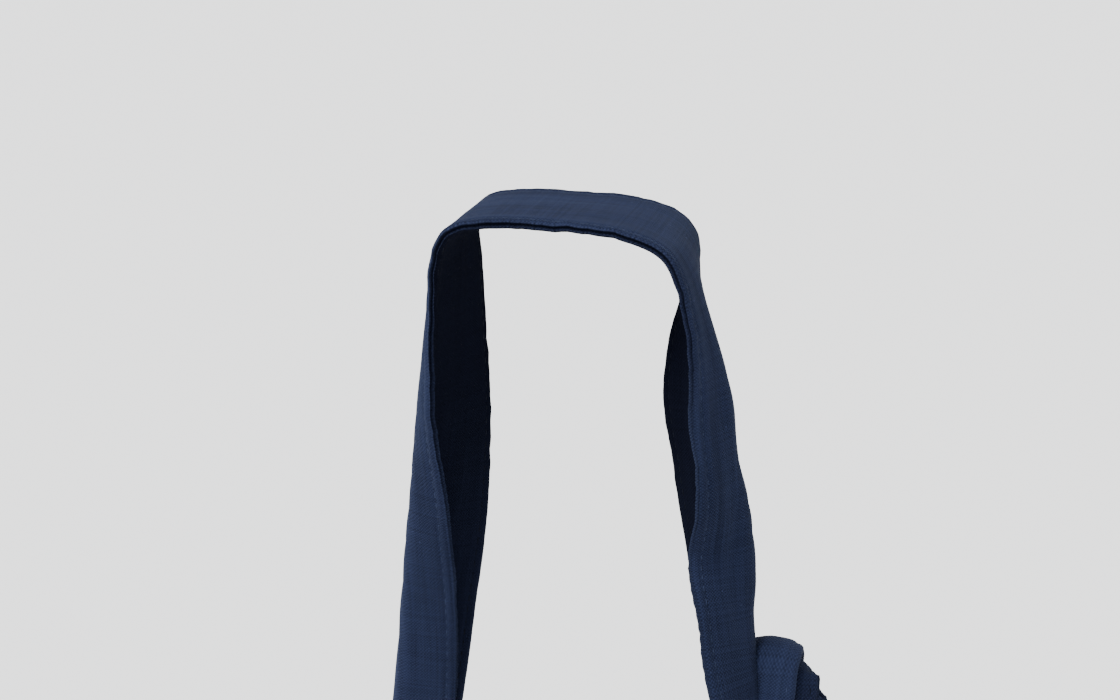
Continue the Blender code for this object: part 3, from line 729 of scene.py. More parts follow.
def finer(grid, count, axis):
    """A smooth grid with count rows, or columns, for each one of the grid's."""
    grid = np.moveaxis(grid, axis, 0)
    padded = np.concatenate([2 * grid[:1] - grid[1:2], grid, 2 * grid[-1:] - grid[-2:-1]])
    a, b, c, d = padded[:-3], padded[1:-2], padded[2:-1], padded[3:]
    rows = [catmull_rom(a, b, c, d, k / count) for k in range(count)]
    fine = np.stack(rows, axis=1).reshape(-1, *grid.shape[1:])
    return np.moveaxis(np.concatenate([fine, grid[-1:]]), 0, axis)


def normals_of(grid, outward):
    """Unit normals of a grid, turned to the side that outward points to."""
    normals = np.cross(np.gradient(grid, axis=1), np.gradient(grid, axis=0))
    normals /= np.maximum(np.linalg.norm(normals, axis=-1), 1e-12)[..., None]
    facing = np.sign(np.sum(normals * outward, axis=-1))[..., None]
    return normals * np.where(facing == 0, 1, facing)


def arcs(grid):
    """Distances along each row and down each column."""
    across = np.linalg.norm(np.diff(grid, axis=1), axis=-1)
    down = np.linalg.norm(np.diff(grid, axis=0), axis=-1)
    across = np.concatenate([np.zeros((grid.shape[0], 1)), np.cumsum(across, axis=1)], axis=1)
    down = np.concatenate([np.zeros((1, grid.shape[1])), np.cumsum(down, axis=0)], axis=0)
    return across, down


def noise_field(grid, scale, seed):
    """Noise at the grid's points, each axis divided by its own scale in metres."""
    places = grid.reshape(-1, 3) / np.array(scale) + np.array((seed, 0, 0))
    return np.array([noise.noise(Vector(place)) for place in places]).reshape(grid.shape[:2])


def grid_mesh(name, grid, thickness, material, outward, wear=None, uv_shift=0.0):
    """A piece of cloth whose outer face is the grid."""
    rows, columns = grid.shape[:2]
    faces = grid_faces(rows, columns)
    points = grid.reshape(-1, 3)
    first = np.array(faces[len(faces) // 2])
    a, b, c = points[first[0]], points[first[1]], points[first[2]]
    mid = outward[rows // 2, columns // 2] if np.ndim(outward) == 3 else np.array(outward)
    if np.dot(np.cross(b - a, c - a), mid) < 0:
        faces = [f[::-1] for f in faces]
    obj = add_mesh(name, points, faces, material)
    across, down = arcs(grid)
    middle = across[:, columns // 2][:, None]
    set_uv(obj, np.stack([across - middle + uv_shift, down + uv_shift], axis=-1).reshape(-1, 2))
    set_values(obj, "wear", np.zeros(points.shape[0]) if wear is None else np.clip(wear, 0, 1).ravel())
    solid = obj.modifiers.new("Cloth", "SOLIDIFY")
    solid.thickness = thickness
    solid.offset = -1
    solid.use_even_offset = False
    return obj


def place_on(surface, u, share, lift=0.0):
    """Points on a panel's outer face, and their normals."""
    grid, normals = surface
    u, share = np.broadcast_arrays(np.asarray(u, float), np.asarray(share, float))
    rows = np.interp(share, FINE_SHARES, np.arange(len(FINE_SHARES)))
    columns = (u + 1) / 2 * (grid.shape[1] - 1)
    rows, columns = np.clip(rows, 0, grid.shape[0] - 1.001), np.clip(columns, 0, grid.shape[1] - 1.001)
    i, j = rows.astype(int), columns.astype(int)
    t, w = (rows - i)[..., None], (columns - j)[..., None]

    def blended(values):
        return (values[i, j] * (1 - t) * (1 - w) + values[i, j + 1] * (1 - t) * w
                + values[i + 1, j] * t * (1 - w) + values[i + 1, j + 1] * t * w)

    normal = blended(normals)
    normal /= np.linalg.norm(normal, axis=-1)[..., None]
    return blended(grid) + normal * np.asarray(lift)[..., None], normal


# ------------------------------------------------------------------ stitches

THREAD_RADIUS = 0.2 * MM
STITCH_PITCH = 2.6 * MM
STITCH_GAP = 0.18  # share of the pitch


def stitches_along(points, normals, pitch):
    """Segments of thread along a line of points."""
    points, normals = np.asarray(points), np.asarray(normals)
    travel = travelled(points)
    count = max(1, round(travel[-1] / pitch))
    pitch = travel[-1] / count

    def at(values, share):
        return interpolated(share * pitch, travel, values)

    return [
        (at(points, k + STITCH_GAP / 2), at(points, k + 1 - STITCH_GAP / 2), at(normals, k + 0.5))
        for k in range(count)
    ]


def stitched(name, lines, pitch=STITCH_PITCH, radius=THREAD_RADIUS):
    """Stitches along lines, each line its points and their normals."""
    segments = []
    for points, normals in lines:
        segments += stitches_along(points, normals, pitch)
    return capsules(name, segments, radius, THREAD)


# ------------------------------------------------------------------ the bag's outside

SEAM_STITCH = 3.4 * MM  # stitch line from the seam
MOUTH_STITCHES = (2.6 * MM, 6.4 * MM)
MOUTH_HALF = 0.66  # u where the stitches beside the zipper end
MOUTH_FOLD = ((2.2, -0.9), (1.7, -0.1), (0.9, 0.35), (0.3, 0.25))  # mm inwards and up
FINE_SHARES = np.interp(np.arange(FINER * (len(SHARES) - 1) + 1) / FINER, np.arange(len(SHARES)), SHARES)
STITCH_LIFT = 0.05 * MM


def groove(distance, width=0.9 * MM):
    return np.exp(-((distance / width) ** 2))


def seam_puckers(grid, from_seam, seed):
    """Short ridges that cross a seam and fade into the cloth."""
    along_z = noise_field(grid, (0.02, 0.02, 0.0042), seed)
    along_x = noise_field(grid, (0.0042, 0.02, 0.02), seed + 7)
    side, base = from_seam
    near_side = np.exp(-side / (6.5 * MM)) * (side <= base)
    near_base = np.exp(-base / (6.5 * MM)) * (base < side)
    return 0.75 * MM * (along_z * near_side + along_x * near_base)


def pulled(grid, side):
    """Folds that run out from the strap's ends and from the lower corners."""
    total = np.zeros(grid.shape[:2])
    centres = [(LEFT_END_X * MM, TOP_Z, 1.5, 9.0, 75 * MM), (RIGHT_END_X * MM, TOP_Z, 1.5, 8.0, 80 * MM),
               (BAG_X - HALF_WIDTH + CORNER / 2, BASE_Z + CORNER / 2, 1.1, 7.0, 45 * MM),
               (BAG_X + HALF_WIDTH - CORNER / 2, BASE_Z + CORNER / 2, 1.1, 8.0, 45 * MM)]
    for k, (x, z, height, folds, reach) in enumerate(centres):
        dx, dz = grid[..., 0] - x, grid[..., 2] - z
        distance = np.hypot(dx, dz)
        angle = np.arctan2(dz, dx)
        bend = 0.9 * noise_field(grid, (0.05, 0.05, 0.05), 50 + k + side)
        ridge = np.maximum(0, np.cos(folds * angle + 4 * bend + k)) ** 2
        uneven = 0.7 + 0.9 * noise_field(grid, (0.03, 0.03, 0.03), 60 + k + side)
        total += height * MM * ridge * uneven * np.exp(-distance / reach) * smooth(distance / (18 * MM))
    return total


def make_panel(name, side, grid):
    """A panel: crumpled cloth with puckered, topstitched seams."""
    grid = finer(finer(grid, FINER, 0), FINER, 1)
    outward = np.array((0.0, side, 0.0))
    normals = normals_of(grid, outward)
    across, down = arcs(grid)
    from_side = np.minimum(across, across[:, -1:] - across)
    from_base = down[-1:] - down
    from_seam = np.minimum(from_side, from_base)
    inner = smooth(from_seam / (9 * MM))
    drape = 1.9 * MM * noise_field(grid, (0.026, 0.05, 0.07), side + 3)
    crumple = 0.6 * MM * noise_field(grid, (0.011, 0.02, 0.017), side + 11)
    lift = (drape + crumple + pulled(grid, side)) * inner * smooth(down / (14 * MM))
    lift += seam_puckers(grid, (from_side, from_base), side + 20)
    lift -= 0.35 * MM * groove(from_seam - SEAM_STITCH)
    lift += 0.25 * MM * groove(from_seam - 1.6 * MM, 1.2 * MM)
    u = np.linspace(-1, 1, grid.shape[1])[None, :]
    by_mouth = smooth((MOUTH_HALF + 0.04 - np.abs(u)) / 0.04)
    for place in MOUTH_STITCHES:
        lift -= 0.3 * MM * groove(down - place) * by_mouth
    rippled = np.sin(down / (5 * MM)) * noise_field(grid, (0.006, 0.02, 0.03), side + 31)
    lift += 0.5 * MM * rippled * np.exp(-down / (9 * MM)) * by_mouth
    lift = np.maximum(lift, -0.7 * MM)  # the lining is close inside
    outer = grid + normals * (CLOTH + lift)[..., None]
    fold = [outer[0] - normals[0] * depth * MM + np.array((0, 0, rise * MM)) for depth, rise in MOUTH_FOLD]
    wear = 0.9 * groove(from_seam - 0.5 * MM, 1.2 * MM) + 0.8 * groove(down, 1.5 * MM)
    wear = np.concatenate([np.full((len(fold), grid.shape[1]), 0.8), wear])
    whole = np.concatenate([fold, outer])
    obj = grid_mesh(f"{name}_panel_cloth", whole, PANEL_THICKNESS, NAVY, outward, wear)
    settle(obj, "bag", "navy_cloth", f"{name}_panel")
    return outer, normals_of(outer, outward)


def make_gusset(grid):
    """The strip round the bag. Its outer points and their normals go to what is sewn on it."""
    grid = finer(finer(grid, 2, 0), FINER, 1)
    outward = grid - np.array((BAG_X, 0, TOP_Z - 0.5 * BAG_HEIGHT))
    outward[..., 1] = 0
    normals = normals_of(grid, outward)
    across, down = arcs(grid)
    from_seam = np.minimum(down, down[-1:] - down)
    lift = 0.6 * MM * noise_field(grid, (0.012, 0.014, 0.012), 41) * smooth(from_seam / (6 * MM))
    lift += 0.8 * MM * noise_field(grid, (0.0045, 0.03, 0.0045), 43) * np.exp(-from_seam / (4 * MM))
    lift -= 0.3 * MM * groove(from_seam - SEAM_STITCH)
    outer = grid + normals * lift[..., None]
    wear = 0.9 * groove(from_seam, 1.6 * MM)
    obj = grid_mesh("gusset_cloth", outer, PANEL_THICKNESS, NAVY, normals, wear)
    settle(obj, "bag", "navy_cloth", "gusset")
    return outer, normals


bag_grids = [panel_grid(side, fullness) for _, side, fullness in SIDES]
bag_grids.append(strip_between(*bag_grids))
bag_grids = simulate(*bag_grids[:2])
SURFACES = {name: make_panel(name, side, grid) for (name, side, _), grid in zip(SIDES, bag_grids)}
GUSSET_SURFACE = make_gusset(bag_grids[2])
FRONT = SURFACES["front"]


def panel_line(surface, xs, zs):
    """A line of stitches on a panel over the points (x, z)."""
    xs, zs = even_line(np.asarray(xs), np.asarray(zs))
    share = (TOP_Z - zs) / BAG_HEIGHT
    return place_on(surface, (xs - BAG_X) / half_width_at(share), share, STITCH_LIFT)


def rim_line(inset):
    """Points (x, z) down the left side, along the base and up the right side."""
    angles = np.linspace(0, math.pi / 2, 16)
    side_z = np.linspace(TOP_Z - 2 * MM, BASE_Z + CORNER, 60)[:-1]
    side_x = np.full(len(side_z), HALF_WIDTH - inset)
    x = np.concatenate([side_x, HALF_WIDTH - CORNER + (CORNER - inset) * np.cos(angles)])
    z = np.concatenate([side_z, BASE_Z + CORNER - (CORNER - inset) * np.sin(angles)])
    return np.concatenate([BAG_X - x, (BAG_X + x)[::-1]]), np.concatenate([z, z[::-1]])


def even_line(xs, zs, step=1.5 * MM):
    """The same line with points a step apart."""
    travel = travelled(np.stack([xs, zs], axis=-1))
    where = np.linspace(0, travel[-1], max(2, round(travel[-1] / step)))
    return np.interp(where, travel, xs), np.interp(where, travel, zs)


def strap_box(surface, x):
    """A box with a cross in it, which holds one end of the strap between the panels."""
    left, right = x - 9.6 * MM, x + 9.6 * MM
    top, low = TOP_Z - 3.4 * MM, TOP_Z - 20.5 * MM
    corners = [(left, top), (right, top), (right, low), (left, low), (left, top), (right, low)]
    sides = [*zip(corners, corners[1:]), ((right, top), (left, low))]
    return [panel_line(surface, (a[0], b[0]), (a[1], b[1])) for a, b in sides]


def gusset_line(at_back):
    """A line beside one of the gusset's seams, where the gusset is wide enough."""
    grid, normals = GUSSET_SURFACE
    down = arcs(grid)[1]
    points, ups = [], []
    for k in np.flatnonzero(down[-1] >= 3.2 * SEAM_STITCH):
        where = down[-1, k] - SEAM_STITCH if at_back else SEAM_STITCH
        points.append(interpolated(where, down[:, k], grid[:, k]))
        ups.append(interpolated(where, down[:, k], normals[:, k]))
    return np.array(points) + np.array(ups) * STITCH_LIFT, np.array(ups)


def stitch_bag():
    lines = []
    for surface in SURFACES.values():
        lines.append(panel_line(surface, *rim_line(SEAM_STITCH)))
        for place in MOUTH_STITCHES:
            u = np.linspace(-MOUTH_HALF, MOUTH_HALF, 120)
            lines.append(place_on(surface, u, place / BAG_HEIGHT, STITCH_LIFT))
    for surface in SURFACES.values():
        for x in (LEFT_END_X * MM, RIGHT_END_X * MM):
            lines += strap_box(surface, x)
    settle(stitched("bag_stitches", lines), "bag", "navy_cloth")
    lines = [gusset_line(at_back) for at_back in (False, True)]
    settle(stitched("gusset_stitches", lines), "bag", "navy_cloth")


stitch_bag()


# ------------------------------------------------------------------ piping

PIPING_RADIUS = 1.6 * MM
PIPING_CLEAR = 1.0 * MM


def tube_mesh(name, path, ups, radius, material, sides=14):
    """A tube with its own radius at each point, and its UV map in metres."""
    tangents = np.gradient(path, axis=0)
    tangents /= np.linalg.norm(tangents, axis=1)[:, None]
    across = np.cross(tangents, ups)
    across /= np.linalg.norm(across, axis=1)[:, None]
    ups = np.cross(across, tangents)
    travel = travelled(path)
    angles = np.linspace(0, 2 * math.pi, sides, endpoint=False)
    size = radius(travel[:, None], angles[None, :])
    verts = (path[:, None] + across[:, None] * (np.cos(angles) * size)[..., None]
             + ups[:, None] * (np.sin(angles) * size)[..., None])
    obj = add_mesh(name, verts.reshape(-1, 3), tube_faces(len(path), sides), material)
    around = angles[None, :] * PIPING_RADIUS + travel[:, None]
    set_uv(obj, np.stack(np.broadcast_arrays(around, travel[:, None]), axis=-1).reshape(-1, 2))
    return obj


def make_piping(name, side):
    """A cord in bias-cut cloth, a little uneven, sewn all round the panel's edge."""
    xs, zs = even_line(*rim_line(-PIPING_CLEAR), step=1.6 * MM)
    share = np.clip((TOP_Z - zs) / BAG_HEIGHT, 0, 1)
    ys = side * (edge_depth(share) + 0.8 * MM)
    path = np.stack([xs, ys, zs], axis=-1)
    ups = np.tile((0.0, 1.0, 0.0), (len(path), 1))

    def radius(v, angle):
        slow = np.sin(v / (3.1 * MM) + 1.7 * np.sin(v / (17 * MM)))
        return PIPING_RADIUS * (1 + 0.035 * slow + 0.03 * np.sin(2 * angle + v / (2.2 * MM)))

    obj = tube_mesh(f"piping_{name}_cord", path, ups, radius, NAVY)
    set_values(obj, "wear", np.full(len(obj.data.vertices), 0.35))
    settle(obj, "bag", "navy_cloth", f"piping_{name}")


for side_name, side_sign, _ in SIDES:
    make_piping(side_name, side_sign)


# ------------------------------------------------------------------ front pocket, hem and flap

POCKET_HALF = 56 * MM / HALF_WIDTH  # widths are u on the panel, from -1 to 1
POCKET_TOP, POCKET_BOTTOM = 0.40, 0.88  # heights are shares down the panel
POCKET_CORNER = 9 * MM
POCKET_LIFT = 0.35 * MM
POCKET_CLOTH = 1.1 * MM
POCKET_FULLNESS = 3.2 * MM
POCKET_STITCHES = (1.8 * MM, 7.0 * MM)
HEM_DROP = 0.055
HEM_HEIGHT = HEM_DROP * BAG_HEIGHT
HEM_STITCH = 1.7 * MM
FLAP_HALF = 46 * MM / HALF_WIDTH
FLAP_TOP, FLAP_BOTTOM = 0.325, 0.53
FLAP_SIZE = (2 * FLAP_HALF * HALF_WIDTH, (FLAP_BOTTOM - FLAP_TOP) * BAG_HEIGHT)
FLAP_CLOTH = 0.9 * MM
FLAP_STITCH = 2.6 * MM
FLAP_TOP_STITCH = 1.5 * MM
SNAP_SHARE = 0.487
SNAP_LIFT = 3.3 * MM  # flap's inner face over the panel's outer one


def on_pocket(u, share):
    """How far the pocket's outer face is from the panel's. It stands a little full."""
    inside = np.clip(1 - (np.abs(u) / POCKET_HALF) ** 4, 0, 1)
    down = np.clip((share - POCKET_TOP) / (POCKET_BOTTOM - POCKET_TOP), 0, 1)
    full = POCKET_FULLNESS * inside * np.sin(math.pi * np.clip((down - 0.3) / 0.7, 0, 1)) ** 1.3
    return POCKET_LIFT + POCKET_CLOTH + full


def laid_flat(us, shares):
    """The panel's points on a flat sheet, in metres."""
    return np.stack([us * HALF_WIDTH, 0 * us, -shares * BAG_HEIGHT], axis=-1)


def rounded_edge(distance, height, reach):
    """Height of a sheet's face at a distance from its edge, which is round over its reach."""
    return height * np.sqrt(np.clip(1 - (1 - np.minimum(distance / reach, 1)) ** 2, 0, 1))


def cloth_piece(name, us, shares, lift, thickness, wear, uv_shift):
    points, _ = place_on(FRONT, us, shares, lift)
    return grid_mesh(name, points, thickness, NAVY, (0.0, -1.0, 0.0), 0.9 * wear, uv_shift)


def make_pocket():
    """A patch with rounded lower corners."""
    s, t = np.meshgrid(np.linspace(-1, 1, 100), np.linspace(0, 1, 96))
    shares = POCKET_TOP + (POCKET_BOTTOM - POCKET_TOP) * t
    below = np.maximum(0, (shares - POCKET_BOTTOM) * BAG_HEIGHT + POCKET_CORNER)
    narrower = POCKET_CORNER - np.sqrt(np.maximum(0, POCKET_CORNER ** 2 - below ** 2))
    us = s * (POCKET_HALF - narrower / HALF_WIDTH)
    from_side = (POCKET_HALF - np.abs(us)) * HALF_WIDTH - narrower
    from_base = (POCKET_BOTTOM - shares) * BAG_HEIGHT
    from_seam = np.minimum(from_side, from_base)
    flat = laid_flat(us, shares)
    lift = on_pocket(us, shares)
    lift += 0.5 * MM * noise_field(flat, (0.014, 1, 0.022), 61) * smooth(from_seam / (8 * MM))
    lift += 0.55 * MM * noise_field(flat, (0.03, 1, 0.0045), 63) * np.exp(-from_side / (5 * MM))
    lift += 0.55 * MM * noise_field(flat, (0.0045, 1, 0.03), 65) * np.exp(-from_base / (5 * MM))
    for place in POCKET_STITCHES:
        lift -= 0.3 * MM * groove(from_seam - place, 0.8 * MM)
    lift = np.maximum(lift, 0.5 * MM)
    obj = cloth_piece("pocket_cloth", us, shares, lift, 0.9 * MM, groove(from_seam, 1.0 * MM), 0.013)
    settle(obj, "bag", "navy_cloth", "front_pocket")


def make_hem():
    """The band along the pocket's mouth."""
    us, t = np.meshgrid(np.linspace(-POCKET_HALF, POCKET_HALF, 100), np.linspace(0, 1, 14))
    shares = POCKET_TOP + HEM_DROP * t
    from_end = (POCKET_HALF - np.abs(us)) * HALF_WIDTH
    edge = np.minimum(np.minimum(t, 1 - t) * HEM_HEIGHT, from_end)
    lift = on_pocket(us, shares) + 0.1 * MM + rounded_edge(edge, 0.7 * MM, 0.8 * MM)
    lift -= 0.25 * MM * groove(edge - HEM_STITCH, 0.7 * MM)
    uneven = noise_field(laid_flat(us, shares), (0.008, 1, 0.03), 71)
    lift += 0.35 * MM * uneven * smooth(from_end / (6 * MM))
    obj = cloth_piece("pocket_hem_cloth", us, shares, lift, 0.7 * MM, groove(edge, 0.8 * MM), 0.031)
    settle(obj, "bag", "navy_cloth", "pocket_hem")


def pocket_outline(inset):
    """Points (u, share) down the left side of the pocket, along its base and up its right side."""
    radius = POCKET_CORNER - min(inset, POCKET_CORNER * 0.8)
    half = POCKET_HALF * HALF_WIDTH - inset
    high, low = POCKET_TOP * BAG_HEIGHT + 1 * MM, POCKET_BOTTOM * BAG_HEIGHT - inset
    angles = np.linspace(0, math.pi / 2, 10)
    x = np.concatenate([[half], half - radius + radius * np.cos(angles)])
    z = np.concatenate([[high], low - radius + radius * np.sin(angles)])
    xs, zs = even_line(np.concatenate([-x, x[::-1]]), np.concatenate([z, z[::-1]]))
    return xs / HALF_WIDTH, zs / BAG_HEIGHT


def flap_lift(u, share):
    """How far the flap's inner face is from the panel's outer one."""
    rise = smooth((share - FLAP_TOP - 0.02) / (0.95 * POCKET_TOP - FLAP_TOP - 0.02))
    curl = 1.0 * MM * smooth((share - SNAP_SHARE) / 0.05) * (np.abs(u) / FLAP_HALF) ** 2
    lobes = 0.5 * MM * np.cos(u / FLAP_HALF * 4.2) * smooth((share - FLAP_TOP) / 0.1)
    snapped = 1 - np.exp(-((u * HALF_WIDTH / (14 * MM)) ** 2))
    return 0.3 * MM + (SNAP_LIFT - 0.3 * MM) * rise + curl + lobes * snapped


def flap_shape(s, t):
    bottom = FLAP_BOTTOM - 0.045 * np.abs(s) ** 6
    return s * FLAP_HALF, FLAP_TOP + (bottom - FLAP_TOP) * t


def make_flap():
    """A padded flap, pressed down round the snap's cap."""
    s, t = np.meshgrid(np.linspace(-1, 1, 90), np.linspace(0, 1, 60))
    us, shares = flap_shape(s, t)
    from_side = (1 - np.abs(s)) * FLAP_SIZE[0] / 2
    from_base, from_top = (1 - t) * FLAP_SIZE[1], t * FLAP_SIZE[1]
    from_edge = np.minimum(from_side, from_base)
    from_seam = np.minimum(from_edge, from_top)
    from_snap = np.hypot(us * HALF_WIDTH, (shares - SNAP_SHARE) * BAG_HEIGHT)
    flat = laid_flat(us, shares)
    lift = flap_lift(us, shares) + FLAP_CLOTH + rounded_edge(from_seam, 0.5 * MM, 0.9 * MM)
    soft = smooth(from_seam / (6 * MM)) * smooth((from_snap - 5 * MM) / (8 * MM))
    lift += 0.45 * MM * noise_field(flat, (0.015, 1, 0.013), 81) * soft
    lift += 0.3 * MM * noise_field(flat, (0.006, 1, 0.006), 83) * np.exp(-from_seam / (4 * MM))
    lift -= 0.28 * MM * groove(from_edge - FLAP_STITCH, 0.75 * MM)
    lift -= 0.28 * MM * groove(from_top - FLAP_TOP_STITCH, 0.75 * MM)
    lift -= 0.4 * MM * groove(from_snap - 6 * MM, 1.6 * MM)
    obj = cloth_piece("flap_cloth", us, shares, lift, 1.2 * MM, groove(from_seam, 0.9 * MM), 0.047)
    bend_flap(obj)
    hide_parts("pocket_flap")


def bend_flap(obj):
    """The flap's placement goes into its mesh; nothing in it is bent. The strip of the flap above its hinge
    stays sewn to the front panel.
    """
    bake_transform(obj)


def stitch_flap():
    """One line round the free edge and two along the sewn one."""
    side = 1 - FLAP_STITCH / (FLAP_HALF * HALF_WIDTH)
    low = 1 - FLAP_STITCH / FLAP_SIZE[1]
    falling = np.linspace(0.06, low, 30)
    round_s = np.concatenate([np.full(30, -side), np.linspace(-side, side, 90)[1:-1], np.full(30, side)])
    round_t = np.concatenate([falling, np.full(88, low), falling[::-1]])
    along = np.linspace(-0.98, 0.98, 80)
    lines = []
    for s, t in ((round_s, round_t), (along, 0.035), (along, 0.11)):
        us, shares = flap_shape(s, t)
        lines.append(place_on(FRONT, us, shares, flap_lift(us, shares) + 1.35 * MM))
    bend_flap(stitched("flap_stitches", lines))


def stitch_pocket():
    lines = []
    for inset in POCKET_STITCHES:
        u, share = pocket_outline(inset)
        lines.append(place_on(FRONT, u, share, on_pocket(u, share) + STITCH_LIFT))
    for drop in (HEM_STITCH, HEM_HEIGHT - HEM_STITCH):
        u = np.linspace(-POCKET_HALF + 0.02, POCKET_HALF - 0.02, 120)
        share = np.full(120, POCKET_TOP + drop / BAG_HEIGHT)
        lines.append(place_on(FRONT, u, share, on_pocket(u, share) + 0.78 * MM))
    settle(stitched("pocket_stitches", lines), "bag", "navy_cloth")


make_pocket()
make_hem()
stitch_pocket()
make_flap()
stitch_flap()


# ------------------------------------------------------------------ metal

def metal(name, base, dark, roughness=0.24):
    """Antiqued metal: rubbed bright on its edges, brown in patches, with fine scratches."""
    material, tree, shader = new_material(name)
    place = tree.nodes.new("ShaderNodeTexCoord").outputs["Object"]
    patina = stretched_noise(tree, place, (420, 420, 420), 5)
    scratch = stretched_noise(tree, place, (2400, 160, 900), 3)
    edge = tree.nodes.new("ShaderNodeNewGeometry").outputs["Pointiness"]
    colour = mix_rgb(tree, ramp(tree, patina, 0.35, 0.68), base, dark)
    colour = mix_rgb(tree, ramp(tree, edge, 0.50, 0.58), colour, [min(1, 1.45 * c) for c in base])
    tree.links.new(colour, shader.inputs["Base Color"])
    shader.inputs["Metallic"].default_value = 1.0
    rough = math_node(tree, "MULTIPLY_ADD", patina, 0.3, roughness)
    tree.links.new(rough, shader.inputs["Roughness"])
    tree.links.new(bump(tree, scratch, 0.25, 0.05 * MM).outputs[0], shader.inputs["Normal"])
    return material


BRASS = metal("antique_brass", (0.33, 0.215, 0.085), (0.12, 0.072, 0.028))
ON_AXIS = 0.01  # mm, radius of a profile's end on its axis
POCKET_FACE = (POCKET_LIFT + POCKET_CLOTH) / MM
FLAP_INSIDE = SNAP_LIFT / MM
# Profiles: radius, height over the pocket's face or over the flap's inside, in mm.
STUD = ((ON_AXIS, 0.05), (3.4, 0.05), (3.4, 0.35), (1.3, 0.45),
        (1.3, 0.7), (1.55, 1.0), (1.3, 1.25), (ON_AXIS, 1.3))
SOCKET = ((4.2, 0), (4.2, -0.7), (3.9, -0.95), (2.2, -1.0), (1.9, -0.8), (1.9, 0))
DOME_RIM = ((0.96, 0), (1, 0.12), (1, 0.3), (0.97, 0.45), (0.88, 0.5), (0.84, 0.42))  # share, mm


def dome(radius, foot, height, steps=10):
    """Profile of a shallow dome with a rolled edge and a ring in it."""
    points = [(ON_AXIS, foot)] + [(radius * share, foot + rise) for share, rise in DOME_RIM]
    step = DOME_RIM[-1][1]
    for k in range(steps + 1):
        angle = math.pi / 2 * k / steps
        rise = step + (height - step) * math.sin(angle)
        points.append((max(ON_AXIS, radius * 0.80 * math.cos(angle)), foot + rise))
    return points


def turned_on(name, profile, u, share, body, node, steps=48):
    """A turned piece on the front panel. Its profile is (radius, height over the panel), in mm."""
    foot, axis = (Vector(v) for v in place_on(FRONT, u, share))
    across = axis.orthogonal().normalized()
    other = axis.cross(across)
    verts = []
    for radius, height in profile:
        for k in range(steps):
            angle = 2 * math.pi * k / steps
            around = across * math.cos(angle) + other * math.sin(angle)
            verts.append(foot + around * radius * MM + axis * height * MM)
    faces = [f[::-1] for f in grid_faces(len(profile), steps, closed=True)]
    if profile[0][0] > ON_AXIS:
        faces.append(tuple(range(steps)))
    if profile[-1][0] > ON_AXIS:
        faces.append(tuple(range(len(verts) - steps, len(verts)))[::-1])
    obj = add_mesh(name, verts, faces, BRASS)
    face_outwards(obj)
    settle(obj, body, "brass", node)


def make_snap():
    stud = [(radius, POCKET_FACE + height) for radius, height in STUD]
    socket = [(radius, FLAP_INSIDE + height) for radius, height in SOCKET]
    turned_on("snap_stud_post", stud, 0.0, SNAP_SHARE, "bag", "snap_stud")
    turned_on("snap_socket_ring", socket, 0.0, SNAP_SHARE, "flap", "snap_socket")
    turned_on("snap_cap_dome", dome(5.2, FLAP_INSIDE + 1.25, 1.7), 0.0, SNAP_SHARE, "flap", "snap_cap")


def make_rivets():
    share = POCKET_TOP + HEM_DROP / 2
    for name, side in (("left", -1), ("right", 1)):
        u = side * (POCKET_HALF - 5 * MM / HALF_WIDTH)
        profile = dome(3.0, POCKET_FACE + 0.75, 1.15)
        turned_on(f"rivet_{name}_head", profile, u, share, "bag", f"rivet_{name}", steps=36)


make_snap()
make_rivets()


# ------------------------------------------------------------------ zipper

TAPE_LOW, TAPE_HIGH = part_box("zipper_tape_front")
TAPE_Z = (TAPE_LOW.z + TAPE_HIGH.z) / 2
ZIP_HALF = (TAPE_HIGH.x - TAPE_LOW.x) / 2
TAPE_INNER = 1.5 * MM  # its inner edge from the zipper's middle line
TAPE = woven("zipper_tape_weave", (0.010, 0.014, 0.030), (0.028, 0.037, 0.070), (0.004, 0.006, 0.014),
             pitch=0.30 * MM, depth=0.12 * MM, sheen=0.15)
TOOTH_PITCH = 2.6 * MM
TOOTH_WAIST = 1.2  # mm from the zipper's middle line
# Half of a tooth's outline: mm from its own middle, mm from the zipper's middle line.
TOOTH_HALF = ((0.62, 2.75), (0.62, 2.0), (0.5, 1.65), (0.6, 1.25), (0.74, 0.85), (0.62, 0.52), (0.25, 0.37))
TOOTH_LEVELS = ((-0.95, 0.78), (-0.75, 0.96), (0.0, 1.0), (0.75, 0.96), (0.95, 0.78))  # mm up, size


def make_tape(name, side):
    """Woven tape with a thick edge where its teeth are clamped."""
    x = np.linspace(BAG_X - ZIP_HALF, BAG_X + ZIP_HALF, 220)[None, :]
    t = np.linspace(0, 1, 12)[:, None]
    outer = panel_depth((x - BAG_X) / HALF_WIDTH, 0.0, 1.0) + 0.35 * MM
    y = side * (TAPE_INNER + (outer - TAPE_INNER) * t)
    cord = 0.32 * MM * groove(np.abs(y) - 2.3 * MM, 0.55 * MM)
    sag = 0.25 * MM * np.sin(x / (7.3 * MM)) * t
    z = TAPE_Z + 0.35 * MM + cord - sag - 0.5 * MM * t
    grid = np.stack(np.broadcast_arrays(x, y, z), axis=-1)
    obj = grid_mesh(f"zipper_tape_{name}_woven", grid, 0.6 * MM, TAPE, (0.0, 0.0, 1.0))
    settle(obj, "bag", "zipper_tape", f"zipper_tape_{name}")


